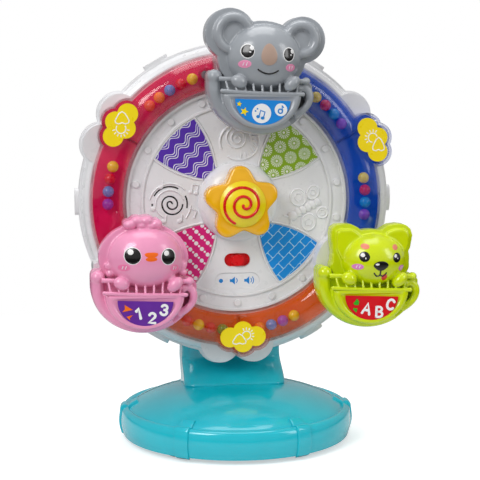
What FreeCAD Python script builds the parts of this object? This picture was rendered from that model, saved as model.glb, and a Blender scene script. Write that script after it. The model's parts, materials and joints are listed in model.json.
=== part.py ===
import FreeCAD, Part
import math
import os
from FreeCAD import Vector

# Animal sound spinner: a wheel with bead tracks and three hanging animal carriages, on a round stand.
# Millimetres. X to the right, Y to the back, Z up. Origin on the table, under the centre of the base.

# Stand
base_r = 76.0
base_edge_in = 2.5
base_lift = 3.0
base_barrel_z = 10.5
base_shoulder_in = 1.0
base_shoulder_z = 16.8
base_corner_in = 2.1
base_corner_z = 19.7
base_rim_in = 4.6
base_rim_z = 21.0
dome_in = 6.9
dome_edge_z = 20.2
dome_top_z = 33.8
stand_wall = 2.4
strap_count = 6
strap_w = 9.5
strap_proud = 1.1
strap_reach = 6.1
strap_turn = -5.0
plate_t = 2.4
plate_gap = 0.2
foot_count = 4
foot_r = 8.0
foot_ring_in = 18.0
plate_screw_ring_in = 26.0
column_half_w = 33.5
column_top_half_w = 30.0
column_foot_front_y = -3.0
column_foot_rear_y = 33.0
column_rear_y = 44.0
column_bend_z = 33.0
column_bend_h = 16.0
column_corner_r = 8.0
column_floor_t = 5.0
column_split_y = 24.0
column_screw_x = 20.0
column_screw_z = (72.0, 128.0)

# Screws
screw_r = 1.3
screw_head_r = 2.6
screw_head_h = 1.8
screw_post_r = 4.0
screw_hole_gap = 0.3

# Axle
axle_z = 154.5
axle_r = 5.0
axle_gap = 0.05
axle_head_r = 8.0
axle_head_h = 3.0
bush_r = 9.0
bush_flange_r = 12.0
bush_flange_t = 1.2
washer_r = 8.5
washer_t = 0.8
end_gap = 0.3

# Wheel case
case_y = -7.0
case_depth = 19.0
case_wall = 2.0
front_depth = 8.0
front_edge_r = 95.2
front_rim_r = 99.3
rear_rim_r = 100.8
rear_edge_r = 98.0
rear_bevel = 3.5
wheel_back_gap = 2.0
lobe_r = 13.0
lobe_side = 11.0
lobe_ring_r = 92.0
rear_lobe_depth = 5.0
lobe_step = 1.6
pad_count = 6
pad_half_l = 8.5
pad_half_w = 3.6
pad_proud = 2.2
rivet_count = 18
rivet_r = 2.2
rivet_ring_r = 66.0
rivet_h = 1.0
bead_lip_r = (69.6, 71.2)
bead_lip_h = 1.6
disc_ring_r = (60.2, 61.8)
disc_ring_h = 0.9
case_screw_ring_r = 89.0

# Bead tracks
track_r = 82.85
track_half_w = 11.45
track_h = 10.0
track_wall = 1.3
track_end_side = 15.0
track_sweep_deg = 53.0
tray_t = 1.2
tray_gap = 0.15
tray_margin = 0.75
bead_r = 3.6
bead_pitch_deg = 5.5
bead_gap = 0.15
post_angle_deg = 45.2
post_r = 4.2
post_bore_r = 2.9
divider_t = 1.6
label_seats = {-60.0: (3.3, 89.6), 60.0: (5.5, 94.2), 180.0: (-1.3, 86.3)}
label_lobe_r = 6.4
label_side = 8.3
label_up = 3.6
label_margin = 3.2
label_t = 1.2
label_seat_proud = 0.3

# Panels and hub
panel_inner = (24.3, 3.7)
panel_middle = (42.0, 12.8)
panel_outer = (59.2, 17.3)
panel_t = 0.7
hub_r = 25.5
hub_h = 11.0
hub_top_r = 16.0
star_turn = -3.0
star_tip_r = 23.6
star_lobe_r = 6.6
star_valley_r = 15.5
star_h = 15.0
star_lift = 3.0
star_travel = 3.0
star_disc_r = 14.5
star_disc_h = 5.0
stem_r = 5.0
stem_gap = 0.1
spring_r = 7.0
spring_wire = 0.8
retainer_t = 1.2

# Inside the wheel
board_t = 1.6
board_gap = 4.2
board_half_w = 21.0
board_up = 14.0
board_down = 41.0
board_post_drop = 27.0
tact_half = 3.0
tact_h = 3.0
switch_drop = 38.0
slot_half_l = 8.4
slot_r = 4.25
knob_half_l = 4.0
knob_gap = 0.25
knob_proud = 2.4
knob_travel = 4.2
slider_t = 0.9
slider_gap = 0.1
switch_body = (11.0, 5.0, 2.6)
pill_drop = 51.5
pill_half_l = 14.4
pill_r = 5.0
pill_depth = 0.5
speaker_x = -43.4
speaker_drop = 1.5
speaker_r = 14.0
speaker_t = 2.4
magnet_r = 8.0
magnet_t = 4.0
grille_pitch = 3.3
grille_ring_r = 11.2
grille_arcs = ((-62.0, 92.0), (62.0, 42.0), (-112.0, 24.0))
grille_slot = 1.0
battery_r = 5.2
battery_l = 44.0
battery_gap = 0.4
battery_drop = 50.0
battery_x = 13.0
door_half_w = 28.0
door_half_h = 13.0
door_t = 1.6
door_gap = 0.25
contact_t = 0.5

# Carriages
pivot_ring_r = 82.0
boss_r = 22.0
boss_flat = 14.0
boss_h = 11.5
pin_r = 4.0
pin_gap = 0.06
pin_flange_r = 6.8
pin_flange_t = 2.0
pin_hub_r = 6.8
pin_hub_l = 6.8
cap_t = 1.6
cup_offset = 10.3
carriage_gap = 0.8
carriage_depth = 10.7
carriage_wall = 1.6
back_half_w = 33.0
back_top = 1.0
back_round = -9.0
back_bottom = -38.8
head_margin = (4.6, 2.2)
lid_t = 2.0
cup_half_w = 24.5
cup_top = -14.5
cup_drop = 21.0
cup_h = 11.0
label_half_w = 17.3
label_top = -18.5
label_drop = 15.5
label_inset = 0.8
sticker_t = 0.6
rail_r = 1.25
rail_half_l = 25.0
spindle_r = 0.8
spindle_count = 9
top_rail_z = -5.0
post_half_w = 3.6
post_h = 8.0
handle_x = 23.0
handle_z = -15.0
handle_out = (10.4, 12.5)
handle_in = (6.2, 8.3)
handle_h = 6.5
head_split = 1.0
head_h = 16.0
ear_h = 5.0
ear_inset = 3.2
paw_r = 4.3
paw_x = 13.3
paw_side = 17.2
paw_z = -7.5
ballast_right = -7.4
ballast_top = -1.4
ballast_low_right = 0.0
ballast_low_top = -7.8
ballast_t = 8.6
ballast_gap = 0.2
seat_gap = 0.05

# Heads: the dome's centre and half sizes, then the ears or crest as circles (right, up, radius)
heads = {
    "koala": (13.5, 9.8, 22.9, 20.0),
    "chick": (10.6, 8.4, 22.6, 18.7),
    "dog": (14.2, 4.0, 21.0, 16.7),
}
koala_ears = ((-6.4, 24.0, 15.5), (36.4, 21.0, 14.4))
chick_crest = ((-0.5, 28.2, 3.4), (4.5, 30.2, 4.2), (10.5, 30.4, 4.2), (16.6, 28.2, 3.6))
dog_ears = ((-8.3, 21.0, 7.0), (31.0, 21.0, 6.4))
dog_ear_sides = (
    ((-14.9, 18.6), (-8.5, 2.0), (8.0, 10.0), (5.0, 22.8), (-6.2, 27.7)),
    ((37.1, 19.0), (33.5, 2.0), (18.0, 10.0), (20.0, 23.2), (29.2, 27.1)),
)
dog_cheeks = ((-7.2, 0.2, 6.4), (31.2, 0.4, 6.2))

# Places worked out from the sizes above
case_front_in = case_y + case_wall
case_split_y = case_y + front_depth
case_back_y = case_y + case_depth
case_back_in = case_back_y - case_wall
column_front_y = case_back_y + wheel_back_gap
track_top_y = case_y - track_h
boss_front_y = case_y - boss_h
carriage_back_y = boss_front_y - carriage_gap
carriage_lid_y = carriage_back_y - carriage_depth
carriage_face_y = carriage_lid_y - lid_t
hub_front_y = case_y - hub_h
board_y = case_front_in + board_gap
tray_y = case_y - tray_t
bead_y = tray_y - bead_gap - bead_r
plate_z = base_lift + 1.0
base_edge_r = base_r - base_edge_in
base_shoulder_r = base_r - base_shoulder_in
base_corner_r = base_r - base_corner_in
base_rim_r = base_r - base_rim_in
dome_r = base_r - dome_in
strap_reach_r = dome_r - strap_reach
foot_ring_r = base_r - foot_ring_in
plate_screw_ring_r = base_r - plate_screw_ring_in
label_angles = (-60.0, 60.0, 180.0)
pivot_angles = {"chick": -120.0, "koala": 0.0, "dog": 120.0}
track_of = {"pink": -60.0, "blue": 60.0, "orange": 180.0}
bead_groups = {
    "pink_low": (-60.0, -1, 4, 13.8),
    "pink_high": (-60.0, 1, 5, 17.3),
    "blue_high": (60.0, -1, 4, 6.4),
    "blue_low": (60.0, 1, 4, 20.0),
    "orange_right": (180.0, -1, 4, 9.5),
    "orange_left": (180.0, 1, 4, 7.2),
}


def at(r, angle, y=0.0):
    """A point on the wheel: radius, angle clockwise from the top as seen from the front, and depth."""
    a = math.radians(angle)
    return Vector(r * math.sin(a), y, axle_z + r * math.cos(a))


def disc(x, z, r):
    """A round face in the X-Z plane."""
    circle = Part.Circle(Vector(x, 0, z), Vector(0, -1, 0), r)
    return Part.Face(Part.Wire(circle.toShape()))


def oval(x, z, rx, rz):
    """An elliptic face in the X-Z plane."""
    big, small = max(rx, rz), min(rx, rz)
    ellipse = Part.Ellipse(Vector(0, 0, 0), big, small)
    shape = ellipse.toShape()
    if rz > rx:
        shape.rotate(Vector(0, 0, 0), Vector(0, 0, 1), 90)
    shape.rotate(Vector(0, 0, 0), Vector(1, 0, 0), 90)
    shape.translate(Vector(x, 0, z))
    return Part.Face(Part.Wire(shape))


def box_face(x0, z0, x1, z1):
    """A rectangular face in the X-Z plane."""
    corners = [(x0, z0), (x1, z0), (x1, z1), (x0, z1), (x0, z0)]
    return Part.Face(Part.makePolygon([Vector(x, 0, z) for x, z in corners]))


def outline(points):
    """A face in the X-Z plane with straight sides."""
    return Part.Face(Part.makePolygon([Vector(x, 0, z) for x, z in points + points[:1]]))


def union(shapes):
    """One shape from several."""
    first = shapes[0]
    if len(shapes) == 1:
        return first
    return first.fuse(shapes[1:]).removeSplitter()


def slab(face, y0, y1):
    """A face of the X-Z plane made solid from depth y0 to depth y1."""
    placed = face.copy()
    placed.translate(Vector(0, y0, 0))
    return union(placed.extrude(Vector(0, y1 - y0, 0)).Solids)


def rod(r, y0, y1, x=0.0, z=axle_z):
    """A cylinder along Y from depth y0 to depth y1."""
    return Part.makeCylinder(r, abs(y1 - y0), Vector(x, min(y0, y1), z), Vector(0, 1, 0))


def tube(r_out, r_in, y0, y1, x=0.0, z=axle_z):
    """A round tube along Y."""
    return rod(r_out, y0, y1, x, z).cut(rod(r_in, y0, y1, x, z))


def block(x0, y0, z0, x1, y1, z1):
    """A box between two corners."""
    return Part.makeBox(x1 - x0, y1 - y0, z1 - z0, Vector(x0, y0, z0))


def turned(points, start=0.0, sweep=360.0):
    """A closed outline of (radius, depth) points, turned about the axle."""
    wire = Part.makePolygon([Vector(0, y, axle_z + r) for r, y in points + points[:1]])
    return spun(Part.Face(wire), start, sweep)


def spun(face, start, sweep):
    """A face above the axle, turned clockwise about it from one angle through another."""
    placed = face.copy()
    placed.rotate(Vector(0, 0, axle_z), Vector(0, 1, 0), start)
    return placed.revolve(Vector(0, 0, axle_z), Vector(0, 1, 0), sweep)


def turn(shape, angle):
    """The shape turned clockwise about the axle."""
    placed = shape.copy()
    placed.rotate(Vector(0, 0, axle_z), Vector(0, 1, 0), angle)
    return placed


def save(name, solids):
    """Writes one node, as one solid or as a group of separate solids."""
    found = [s for shape in solids for s in shape.Solids]
    shape = found[0] if len(found) == 1 else Part.makeCompound(found)
    shape.exportStep("parts/" + name + ".step")


# Stand


def dome_ball():
    """Centre height and radius of the sphere that the dome is part of."""
    rise = dome_top_z - dome_edge_z
    r = (dome_r**2 + rise**2) / (2 * rise)
    return dome_top_z - r, r


def dome_z(r, inset=0.0):
    """Height of the base's dome at a radius."""
    centre, ball_r = dome_ball()
    return centre + math.sqrt((ball_r - inset) ** 2 - r**2)


def base_form(inset, floor_z):
    """The base as a full turned solid, drawn in by the inset."""

    def point(r, z):
        return Vector(r - inset, 0, z - inset)

    low = Vector(base_edge_r - inset, 0, floor_z)
    edge = Vector(base_edge_r - inset, 0, max(base_lift, floor_z))
    shoulder = point(base_shoulder_r, base_shoulder_z)
    rim = point(base_rim_r, base_rim_z)
    groove_r = dome_r - inset
    groove = Vector(groove_r, 0, dome_z(groove_r, inset))
    middle = Vector(0, 0, groove.z)
    edges = [
        Part.Arc(edge, point(base_r, base_barrel_z + inset), shoulder).toShape(),
        Part.Arc(shoulder, point(base_corner_r, base_corner_z), rim).toShape(),
        Part.LineSegment(rim, groove).toShape(),
        Part.LineSegment(groove, middle).toShape(),
        Part.LineSegment(middle, Vector(0, 0, floor_z)).toShape(),
        Part.LineSegment(Vector(0, 0, floor_z), low).toShape(),
    ]
    if low.distanceToPoint(edge) > 1e-6:
        edges.append(Part.LineSegment(low, edge).toShape())
    face = Part.Face(Part.Wire(Part.__sortEdges__(edges)))
    barrel = face.revolve(Vector(0, 0, 0), Vector(0, 0, 1), 360)
    centre, ball_r = dome_ball()
    ball = Part.makeSphere(ball_r - inset, Vector(0, 0, centre))
    cap = ball.common(upright(groove_r, groove.z - 2.0, dome_top_z + 5, 0, 0))
    return barrel.fuse(cap).removeSplitter()


def ring_places(count, r, first=0.0):
    """Evenly spaced (x, y) places on a circle in the ground plane."""
    angles = [math.radians(first + 360.0 * k / count) for k in range(count)]
    return [(r * math.sin(a), -r * math.cos(a)) for a in angles]


def column_screw_feet():
    """Places of the four screws that hold the column to the dome."""
    front = column_foot_front_y + column_corner_r + screw_post_r
    rear = column_split_y + screw_post_r
    return [(x, y) for x in (-column_screw_x, column_screw_x) for y in (front, rear)]


def screw_up(x, y, z_head, length):
    """A pan-head screw pointing up, with its head's underside at z_head."""
    head = Part.makeCylinder(screw_head_r, screw_head_h, Vector(x, y, z_head - screw_head_h))
    shank = Part.makeCylinder(screw_r, length, Vector(x, y, z_head))
    return head.fuse(shank).removeSplitter()


def screw_forward(x, z, y_head, length):
    """A pan-head screw pointing to the front, with its head's underside at y_head."""
    head = rod(screw_head_r, y_head, y_head + screw_head_h, x, z)
    return head.fuse(rod(screw_r, y_head - length, y_head, x, z)).removeSplitter()


def upright(r, z0, z1, x, y):
    """A cylinder along Z."""
    return Part.makeCylinder(r, z1 - z0, Vector(x, y, z0))


def base_straps():
    """Six raised straps that run up the side and onto the dome."""
    proud = base_form(-strap_proud, base_lift)
    found = []
    for k in range(strap_count):
        angle = 360.0 * (k + 0.5) / strap_count + strap_turn
        reach = block(-strap_w / 2, -base_r - 5, base_lift, strap_w / 2, -strap_reach_r, dome_top_z)
        reach.rotate(Vector(0, 0, 0), Vector(0, 0, 1), angle)
        found.append(proud.common(reach))
    return found


def base_cover():
    outer = base_form(0.0, base_lift).fuse(base_straps())
    shell = outer.cut(base_form(stand_wall, base_lift - 2))
    posts = []
    holes = []
    for x, y in ring_places(4, plate_screw_ring_r):
        top = dome_z(plate_screw_ring_r + screw_post_r) - stand_wall / 2
        posts.append(upright(screw_post_r, plate_z + plate_t, top, x, y))
        holes.append(upright(screw_r, plate_z, top - stand_wall, x, y))
    shell = shell.fuse(posts).cut(holes)
    posts = []
    holes = []
    for x, y in column_screw_feet():
        top = dome_z(math.hypot(x, y) + screw_post_r) - stand_wall / 2
        posts.append(upright(screw_post_r, foot_screw_z(), top, x, y))
        holes.append(upright(screw_r + screw_hole_gap, foot_screw_z(), dome_top_z + 5, x, y))
    return shell.fuse(posts).cut(holes).removeSplitter()


def foot_screw_z():
    """Height of the seats under the dome for the column's screws."""
    return dome_z(dome_r / 2) - stand_wall - 5.0


def base_plate():
    r = base_edge_r - stand_wall - plate_gap - 0.6
    plate = Part.makeCylinder(r, plate_t, Vector(0, 0, plate_z))
    holes = [
        upright(screw_r + screw_hole_gap, plate_z, plate_z + plate_t, x, y)
        for x, y in ring_places(4, plate_screw_ring_r)
    ]
    return plate.cut(holes)


def base_feet():
    """Rubber feet in a ring, and one under the middle."""
    places = ring_places(foot_count, foot_ring_r, 180.0 / foot_count) + [(0.0, 0.0)]
    return [upright(foot_r, 0, plate_z, x, y) for x, y in places]


def column_section(z, inset):
    """The column's rounded outline at a height."""
    t = min(max((z - column_bend_z) / column_bend_h, 0.0), 1.0)
    s = t * t * (3 - 2 * t)
    front = column_foot_front_y + (column_front_y - column_foot_front_y) * s + inset
    rear = column_foot_rear_y + (column_rear_y - column_foot_rear_y) * s - inset
    up = min(max((z - column_bend_z) / (axle_z - column_bend_z), 0.0), 1.0)
    half = column_half_w + (column_top_half_w - column_half_w) * up - inset
    r = max(column_corner_r - inset, 1.0)
    k = r * (1 - math.sqrt(0.5))
    left, right = -half, half
    p = [
        Vector(left + r, front, z),
        Vector(right - r, front, z),
        Vector(right, front + r, z),
        Vector(right, rear - r, z),
        Vector(right - r, rear, z),
        Vector(left + r, rear, z),
        Vector(left, rear - r, z),
        Vector(left, front + r, z),
    ]
    edges = [
        Part.LineSegment(p[0], p[1]),
        Part.Arc(p[1], Vector(right - k, front + k, z), p[2]),
        Part.LineSegment(p[2], p[3]),
        Part.Arc(p[3], Vector(right - k, rear - k, z), p[4]),
        Part.LineSegment(p[4], p[5]),
        Part.Arc(p[5], Vector(left + k, rear - k, z), p[6]),
        Part.LineSegment(p[6], p[7]),
        Part.Arc(p[7], Vector(left + k, front + k, z), p[0]),
    ]
    return Part.Wire([e.toShape() for e in edges])


def column_form(inset, floor_z):
    """The column as a full solid: bent foot, straight back, round head about the axle."""
    bend_end = column_bend_z + column_bend_h
    steps = 8
    heights = [floor_z] if floor_z < column_bend_z else []
    heights += [column_bend_z + column_bend_h * k / steps for k in range(steps + 1)]
    heights = [floor_z] + [h for h in heights if h > floor_z + 1.0]
    foot = Part.makeLoft([column_section(h, inset) for h in heights], True, False)
    top_z = axle_z + column_top_half_w + 2
    body = Part.makeLoft([column_section(h, inset) for h in (bend_end, axle_z, top_z)], True, True)
    arch = box_face(-base_r, 0, base_r, axle_z).fuse(disc(0, axle_z, column_top_half_w - inset))
    clip = slab(arch, -base_r, base_r)
    return foot.fuse(body).common(clip)


def column_screws():
    return [(x, z) for z in column_screw_z for x in (-column_screw_x, column_screw_x)]


def column_shells():
    floor_z = dome_z(0) - column_floor_t
    outer = column_form(0.0, floor_z - 5).cut(base_form(0.0, base_lift))
    hollow = column_form(stand_wall, dome_top_z + column_floor_t)
    shell = outer.cut(hollow)
    front_half = block(-base_r, -base_r, 0, base_r, column_split_y, 3 * axle_z)
    rear_half = block(-base_r, column_split_y, 0, base_r, base_r, 3 * axle_z)
    front = shell.common(front_half)
    rear = shell.common(rear_half)
    front_wall = column_front_y + stand_wall / 2
    rear_wall = column_rear_y - stand_wall / 2
    bosses = [rod(axle_r + 5, front_wall, column_split_y)]
    front_holes = [rod(axle_r, column_front_y - 5, column_split_y)]
    rear_posts = []
    rear_holes = []
    for x, z in column_screws():
        bosses.append(rod(screw_post_r, front_wall, column_split_y, x, z))
        front_holes.append(rod(screw_r, front_wall + 1, column_split_y, x, z))
        rear_posts.append(rod(screw_post_r, column_split_y, rear_wall, x, z))
        rear_holes.append(rod(screw_r + screw_hole_gap, column_split_y, column_rear_y + 1, x, z))
        rear_holes.append(
            rod(screw_head_r + screw_hole_gap, column_rear_y - 4, column_rear_y + 1, x, z)
        )
    for x, y in column_screw_feet():
        hole = upright(screw_r, dome_edge_z, dome_top_z + column_floor_t - 1, x, y)
        front_holes.append(hole)
        rear_holes.append(hole)
    cradle = rod(axle_head_r + 3, column_split_y, column_split_y + axle_head_h)
    rear_posts.append(rod(axle_head_r, column_split_y + axle_head_h, rear_wall))
    rear = rear.fuse(rear_posts).cut(rear_holes).cut(cradle)
    front = front.fuse(bosses).cut(front_holes)
    return front.removeSplitter(), rear.removeSplitter()


def axle():
    """Shaft with a rear head held between the column's halves."""
    bush_end = bush_front_y()
    shaft = rod(axle_r, bush_end - end_gap, column_split_y)
    head = rod(axle_head_r, column_split_y, column_split_y + axle_head_h)
    hole = rod(screw_r, bush_end - end_gap, bush_end + 8)
    return shaft.fuse(head).cut(hole).removeSplitter()


def bush_front_y():
    return case_back_in - 4.5


def axle_washer():
    y = bush_front_y() - end_gap
    washer = tube(washer_r, screw_r, y - washer_t, y)
    return washer


def axle_screw():
    y = bush_front_y() - end_gap - washer_t
    head = rod(screw_head_r, y - 1.2, y)
    return head.fuse(rod(screw_r, y, bush_front_y() + 7)).removeSplitter()


def stand_screws():
    found = [screw_up(x, y, plate_z, 12.0) for x, y in ring_places(4, plate_screw_ring_r)]
    reach = dome_top_z + column_floor_t - 1.5 - foot_screw_z()
    found += [screw_up(x, y, foot_screw_z(), reach) for x, y in column_screw_feet()]
    seat = column_rear_y - 4
    for x, z in column_screws():
        found.append(screw_forward(x, z, seat, seat - column_front_y - 4.5))
    found.append(axle_screw())
    return found


# Wheel case


def lobes(grow):
    """Three pairs of round lobes behind the labels."""
    faces = []
    for angle in label_angles:
        for side in (-lobe_side, lobe_side):
            face = disc(side, axle_z + lobe_ring_r, lobe_r + grow)
            faces.append(turn(face, angle))
    return faces


def boss_face(inset):
    """A carriage boss at the top: round, with a flat side next to each track."""
    full = disc(0, axle_z + pivot_ring_r, boss_r - inset)
    flat = boss_flat - inset
    return full.common(box_face(-flat, axle_z, flat, axle_z + 2 * pivot_ring_r))


def case_posts():
    return [at(case_screw_ring_r, 30.0 + 60.0 * k) for k in range(6)]


def stadium(x, z, half_l, r):
    """A slot-shaped face that lies along X."""
    flat = half_l - r
    body = box_face(x - flat, z - r, x + flat, z + r)
    return union([body, disc(x - flat, z, r), disc(x + flat, z, r)])


def ring_slot(x, z, r, width, start, sweep):
    """Part of a ring as a face, from one angle through another."""
    first = Vector(x, 0, z + r - width / 2)
    last = Vector(x, 0, z + r + width / 2)
    edge = Part.LineSegment(first, last).toShape()
    edge.rotate(Vector(x, 0, z), Vector(0, 1, 0), start)
    return edge.revolve(Vector(x, 0, z), Vector(0, 1, 0), sweep)


def grille_slots():
    """A two-turn spiral slot, with a broken ring of slots around it."""
    z = axle_z - speaker_drop
    found = []
    for k in range(4):
        x = speaker_x + (grille_pitch / 2 if k % 2 else 0.0)
        start = -90.0 if k % 2 == 0 else 90.0
        found.append(ring_slot(x, z, grille_pitch / 2 * (k + 1), grille_slot, start, 180.0))
    for start, sweep in grille_arcs:
        found.append(ring_slot(speaker_x, z, grille_ring_r, grille_slot, start, sweep))
    return found


def wheel_front_shell():
    edge_in = front_edge_r - case_wall
    outer = turned([(0, case_y), (front_edge_r, case_y), (front_edge_r + 2.3, case_y + 1.5),
                    (front_rim_r, case_split_y), (0, case_split_y)])
    inner = turned([(0, case_front_in), (edge_in, case_front_in), (edge_in + 1.6, case_front_in + 1),
                    (front_rim_r - case_wall, case_split_y), (0, case_split_y)])
    bosses = [turn(slab(boss_face(0.0), boss_front_y, case_split_y), a) for a in pivot_angles.values()]
    hollows = [
        turn(slab(boss_face(case_wall), boss_front_y + case_wall, case_split_y), a)
        for a in pivot_angles.values()
    ]
    lobe_out = [slab(f, case_y, case_split_y) for f in lobes(0.0)]
    lobe_in = [slab(f, case_front_in, case_split_y) for f in lobes(-case_wall)]
    rings = [
        tube(bead_lip_r[1], bead_lip_r[0], case_y - bead_lip_h, case_y),
        tube(disc_ring_r[1], disc_ring_r[0], case_y - disc_ring_h, case_y),
    ]
    rivets = []
    for k in range(rivet_count):
        p = at(rivet_ring_r, 360.0 * k / rivet_count)
        rivets.append(rod(rivet_r, case_y - rivet_h, case_y, p.x, p.z))
    posts = [rod(screw_post_r, case_front_in, case_split_y, p.x, p.z) for p in case_posts()]
    holes = [rod(screw_r, case_front_in + 1, case_split_y, p.x, p.z) for p in case_posts()]
    for angle in pivot_angles.values():
        p = at(pivot_ring_r, angle)
        holes.append(rod(pin_r, boss_front_y - 1, case_split_y, p.x, p.z))
    for p in track_posts():
        holes.append(rod(screw_r, case_y - 1, case_front_in + 4, p.x, p.z))
        posts.append(rod(screw_post_r - 1, case_front_in, case_front_in + 4, p.x, p.z))
    for x, z in board_posts():
        posts.append(rod(2.2, case_front_in, board_y, x, z))
        holes.append(rod(0.8, case_front_in + 0.6, board_y, x, z))
    slot = stadium(0, axle_z - switch_drop, slot_half_l, slot_r)
    holes.append(slab(slot, case_y - 1, case_front_in))
    pill = stadium(0, axle_z - pill_drop, pill_half_l, pill_r)
    holes.append(slab(pill, case_y - 1, case_y + pill_depth))
    holes.append(rod(stem_r + 4, case_y - 1, case_front_in))
    holes += [slab(f, case_y - 1, case_front_in) for f in grille_slots()]
    solid = outer.fuse(lobe_out + bosses + rings + rivets)
    shell = solid.cut(inner.fuse(lobe_in + hollows))
    return shell.fuse(posts).cut(holes).removeSplitter()


def rim_pad(angle):
    """A flat oval finger pad on the rear shell's rim."""
    face = oval(0, 0, pad_half_l, pad_half_w)
    face.rotate(Vector(0, 0, 0), Vector(1, 0, 0), -90)
    face.translate(Vector(0, (case_split_y + case_back_y - rear_bevel) / 2, axle_z + rear_rim_r - 3))
    return turn(face.extrude(Vector(0, 0, pad_proud + 3)), angle)


def wheel_rear_shell():
    bevel_y = case_back_y - rear_bevel
    wall = case_wall
    outer = turned([(0, case_split_y), (rear_rim_r, case_split_y), (rear_rim_r, bevel_y),
                    (rear_edge_r, case_back_y), (0, case_back_y)])
    inner = turned([(0, case_split_y), (rear_rim_r - wall, case_split_y), (rear_rim_r - wall, bevel_y),
                    (rear_edge_r - wall, case_back_in), (0, case_back_in)])
    lobe_y = case_split_y + rear_lobe_depth
    backs = [turn(boss_face(0.0), a) for a in pivot_angles.values()]
    hollows = [turn(boss_face(wall), a) for a in pivot_angles.values()]
    lobe_out = [slab(f, case_split_y, lobe_y) for f in lobes(lobe_step) + backs]
    lobe_in = [slab(f, case_split_y, lobe_y - wall) for f in lobes(lobe_step - wall) + hollows]
    pads = [rim_pad(30.0 + 360.0 * k / pad_count) for k in range(pad_count)]
    core = turned([(0, bush_front_y()), (bush_r + 3, bush_front_y()), (bush_r + 3, case_back_y),
                   (0, case_back_y)])
    holes = [rod(bush_r, bush_front_y() - 1, case_back_y + 1)]
    posts = []
    for p in case_posts():
        posts.append(rod(screw_post_r, case_split_y, case_back_in, p.x, p.z))
        holes.append(rod(screw_r + screw_hole_gap, case_split_y, case_back_y, p.x, p.z))
        holes.append(rod(screw_head_r + screw_hole_gap, case_screw_seat(), case_back_y, p.x, p.z))
    z = axle_z - battery_drop
    left, right = battery_x - door_half_w, battery_x + door_half_w
    low, high = z - door_half_h - 4, z + door_half_h - 2
    holes.append(block(left, case_back_y - door_t, low, right, case_back_y, high))
    holes.append(block(left + 2, case_back_in - 1, low + 2, right - 2, case_back_y, high - 2))
    shell = outer.fuse(lobe_out + pads).cut(inner.fuse(lobe_in))
    return shell.fuse(posts + [core]).cut(holes).removeSplitter()


def case_screw_seat():
    return case_back_y - 5.0


def wheel_screws():
    seat = case_screw_seat()
    found = [screw_forward(p.x, p.z, seat, seat - case_front_in - 2.5) for p in case_posts()]
    for p in track_posts():
        seat_y = case_y - tray_t - 0.8
        head = rod(screw_head_r, seat_y - 1.4, seat_y, p.x, p.z)
        found.append(head.fuse(rod(screw_r, seat_y, case_front_in + 3.5, p.x, p.z)).removeSplitter())
    for x, z in board_posts():
        back = board_y + board_t
        head = rod(1.6, back, back + 1.0, x, z)
        found.append(head.fuse(rod(0.8, case_front_in + 1.2, back, x, z)).removeSplitter())
    return found


def wheel_bush():
    y = case_back_y
    body = rod(bush_r, bush_front_y(), y).fuse(rod(bush_flange_r, y, y + bush_flange_t))
    return body.cut(rod(axle_r + axle_gap, bush_front_y(), y + bush_flange_t)).removeSplitter()


# Bead tracks


def track_posts():
    """Screw posts at both ends of each track."""
    return [at(track_r, a + side * post_angle_deg) for a in label_angles for side in (-1, 1)]


def flower(angle, grow):
    """A label's four-lobed outline, grown by a margin, for the track at the top of the wheel."""
    drift, ring_r = label_seats[angle]
    z = axle_z + ring_r
    r = label_lobe_r + grow
    lobes_xz = ((-label_side, 0.0), (label_side, 0.0), (0.0, label_up), (0.0, -label_up))
    return turn(union([disc(x, z + dz, r) for x, dz in lobes_xz]), drift)


def arch_face(half_w, height):
    """The cross-section of a track cover: an arch over the case's face."""
    left = Vector(0, case_y, axle_z + track_r - half_w)
    right = Vector(0, case_y, axle_z + track_r + half_w)
    top = Vector(0, case_y - height, axle_z + track_r)
    arc = Part.Arc(left, top, right).toShape()
    return Part.Face(Part.Wire([arc, Part.LineSegment(right, left).toShape()]))


def track_arch(half_w, height, half_angle, start=None):
    """An arch swept along the track at the top of the wheel."""
    first = -half_angle if start is None else start
    return spun(arch_face(half_w, height), first, half_angle - first)


def boss_strips(half_w):
    """The strips across the tracks that the carriage bosses on both sides take up."""
    strip = box_face(-half_w, axle_z, half_w, axle_z + 2 * track_r)
    solid = slab(strip, track_top_y - track_h, case_split_y)
    return [turn(solid, -60.0), turn(solid, 60.0)]


def track_cover(angle):
    """A clear cover: an arch with two bead channels, and a raised seat for the label."""
    seat_y = track_top_y - label_seat_proud
    outer = track_arch(track_half_w, track_h, track_sweep_deg)
    outer = outer.cut(boss_strips(track_end_side))
    outer = outer.fuse(slab(flower(angle, label_margin), seat_y, case_y))
    in_w, in_h = track_half_w - track_wall, track_h - track_wall
    hollow = track_arch(in_w, in_h, track_sweep_deg)
    hollow = hollow.cut(boss_strips(track_end_side + track_wall))
    hollow = hollow.fuse(slab(flower(angle, label_margin - track_wall), seat_y + track_wall, case_y))
    divider = block(-divider_t / 2, seat_y, axle_z, divider_t / 2, tray_y, axle_z + 2 * track_r)
    shell = outer.cut(hollow.cut(divider))
    posts = []
    holes = []
    for side in (-1, 1):
        p = at(track_r, side * post_angle_deg)
        posts.append(rod(post_r, track_top_y + 1, tray_y, p.x, p.z))
        holes.append(rod(post_bore_r, track_top_y - 1, tray_y - 0.8, p.x, p.z))
        holes.append(rod(screw_r + screw_hole_gap, track_top_y - 1, case_y, p.x, p.z))
    shell = shell.fuse([post.common(outer) for post in posts]).cut(holes)
    return turn(shell.removeSplitter(), angle)


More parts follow.
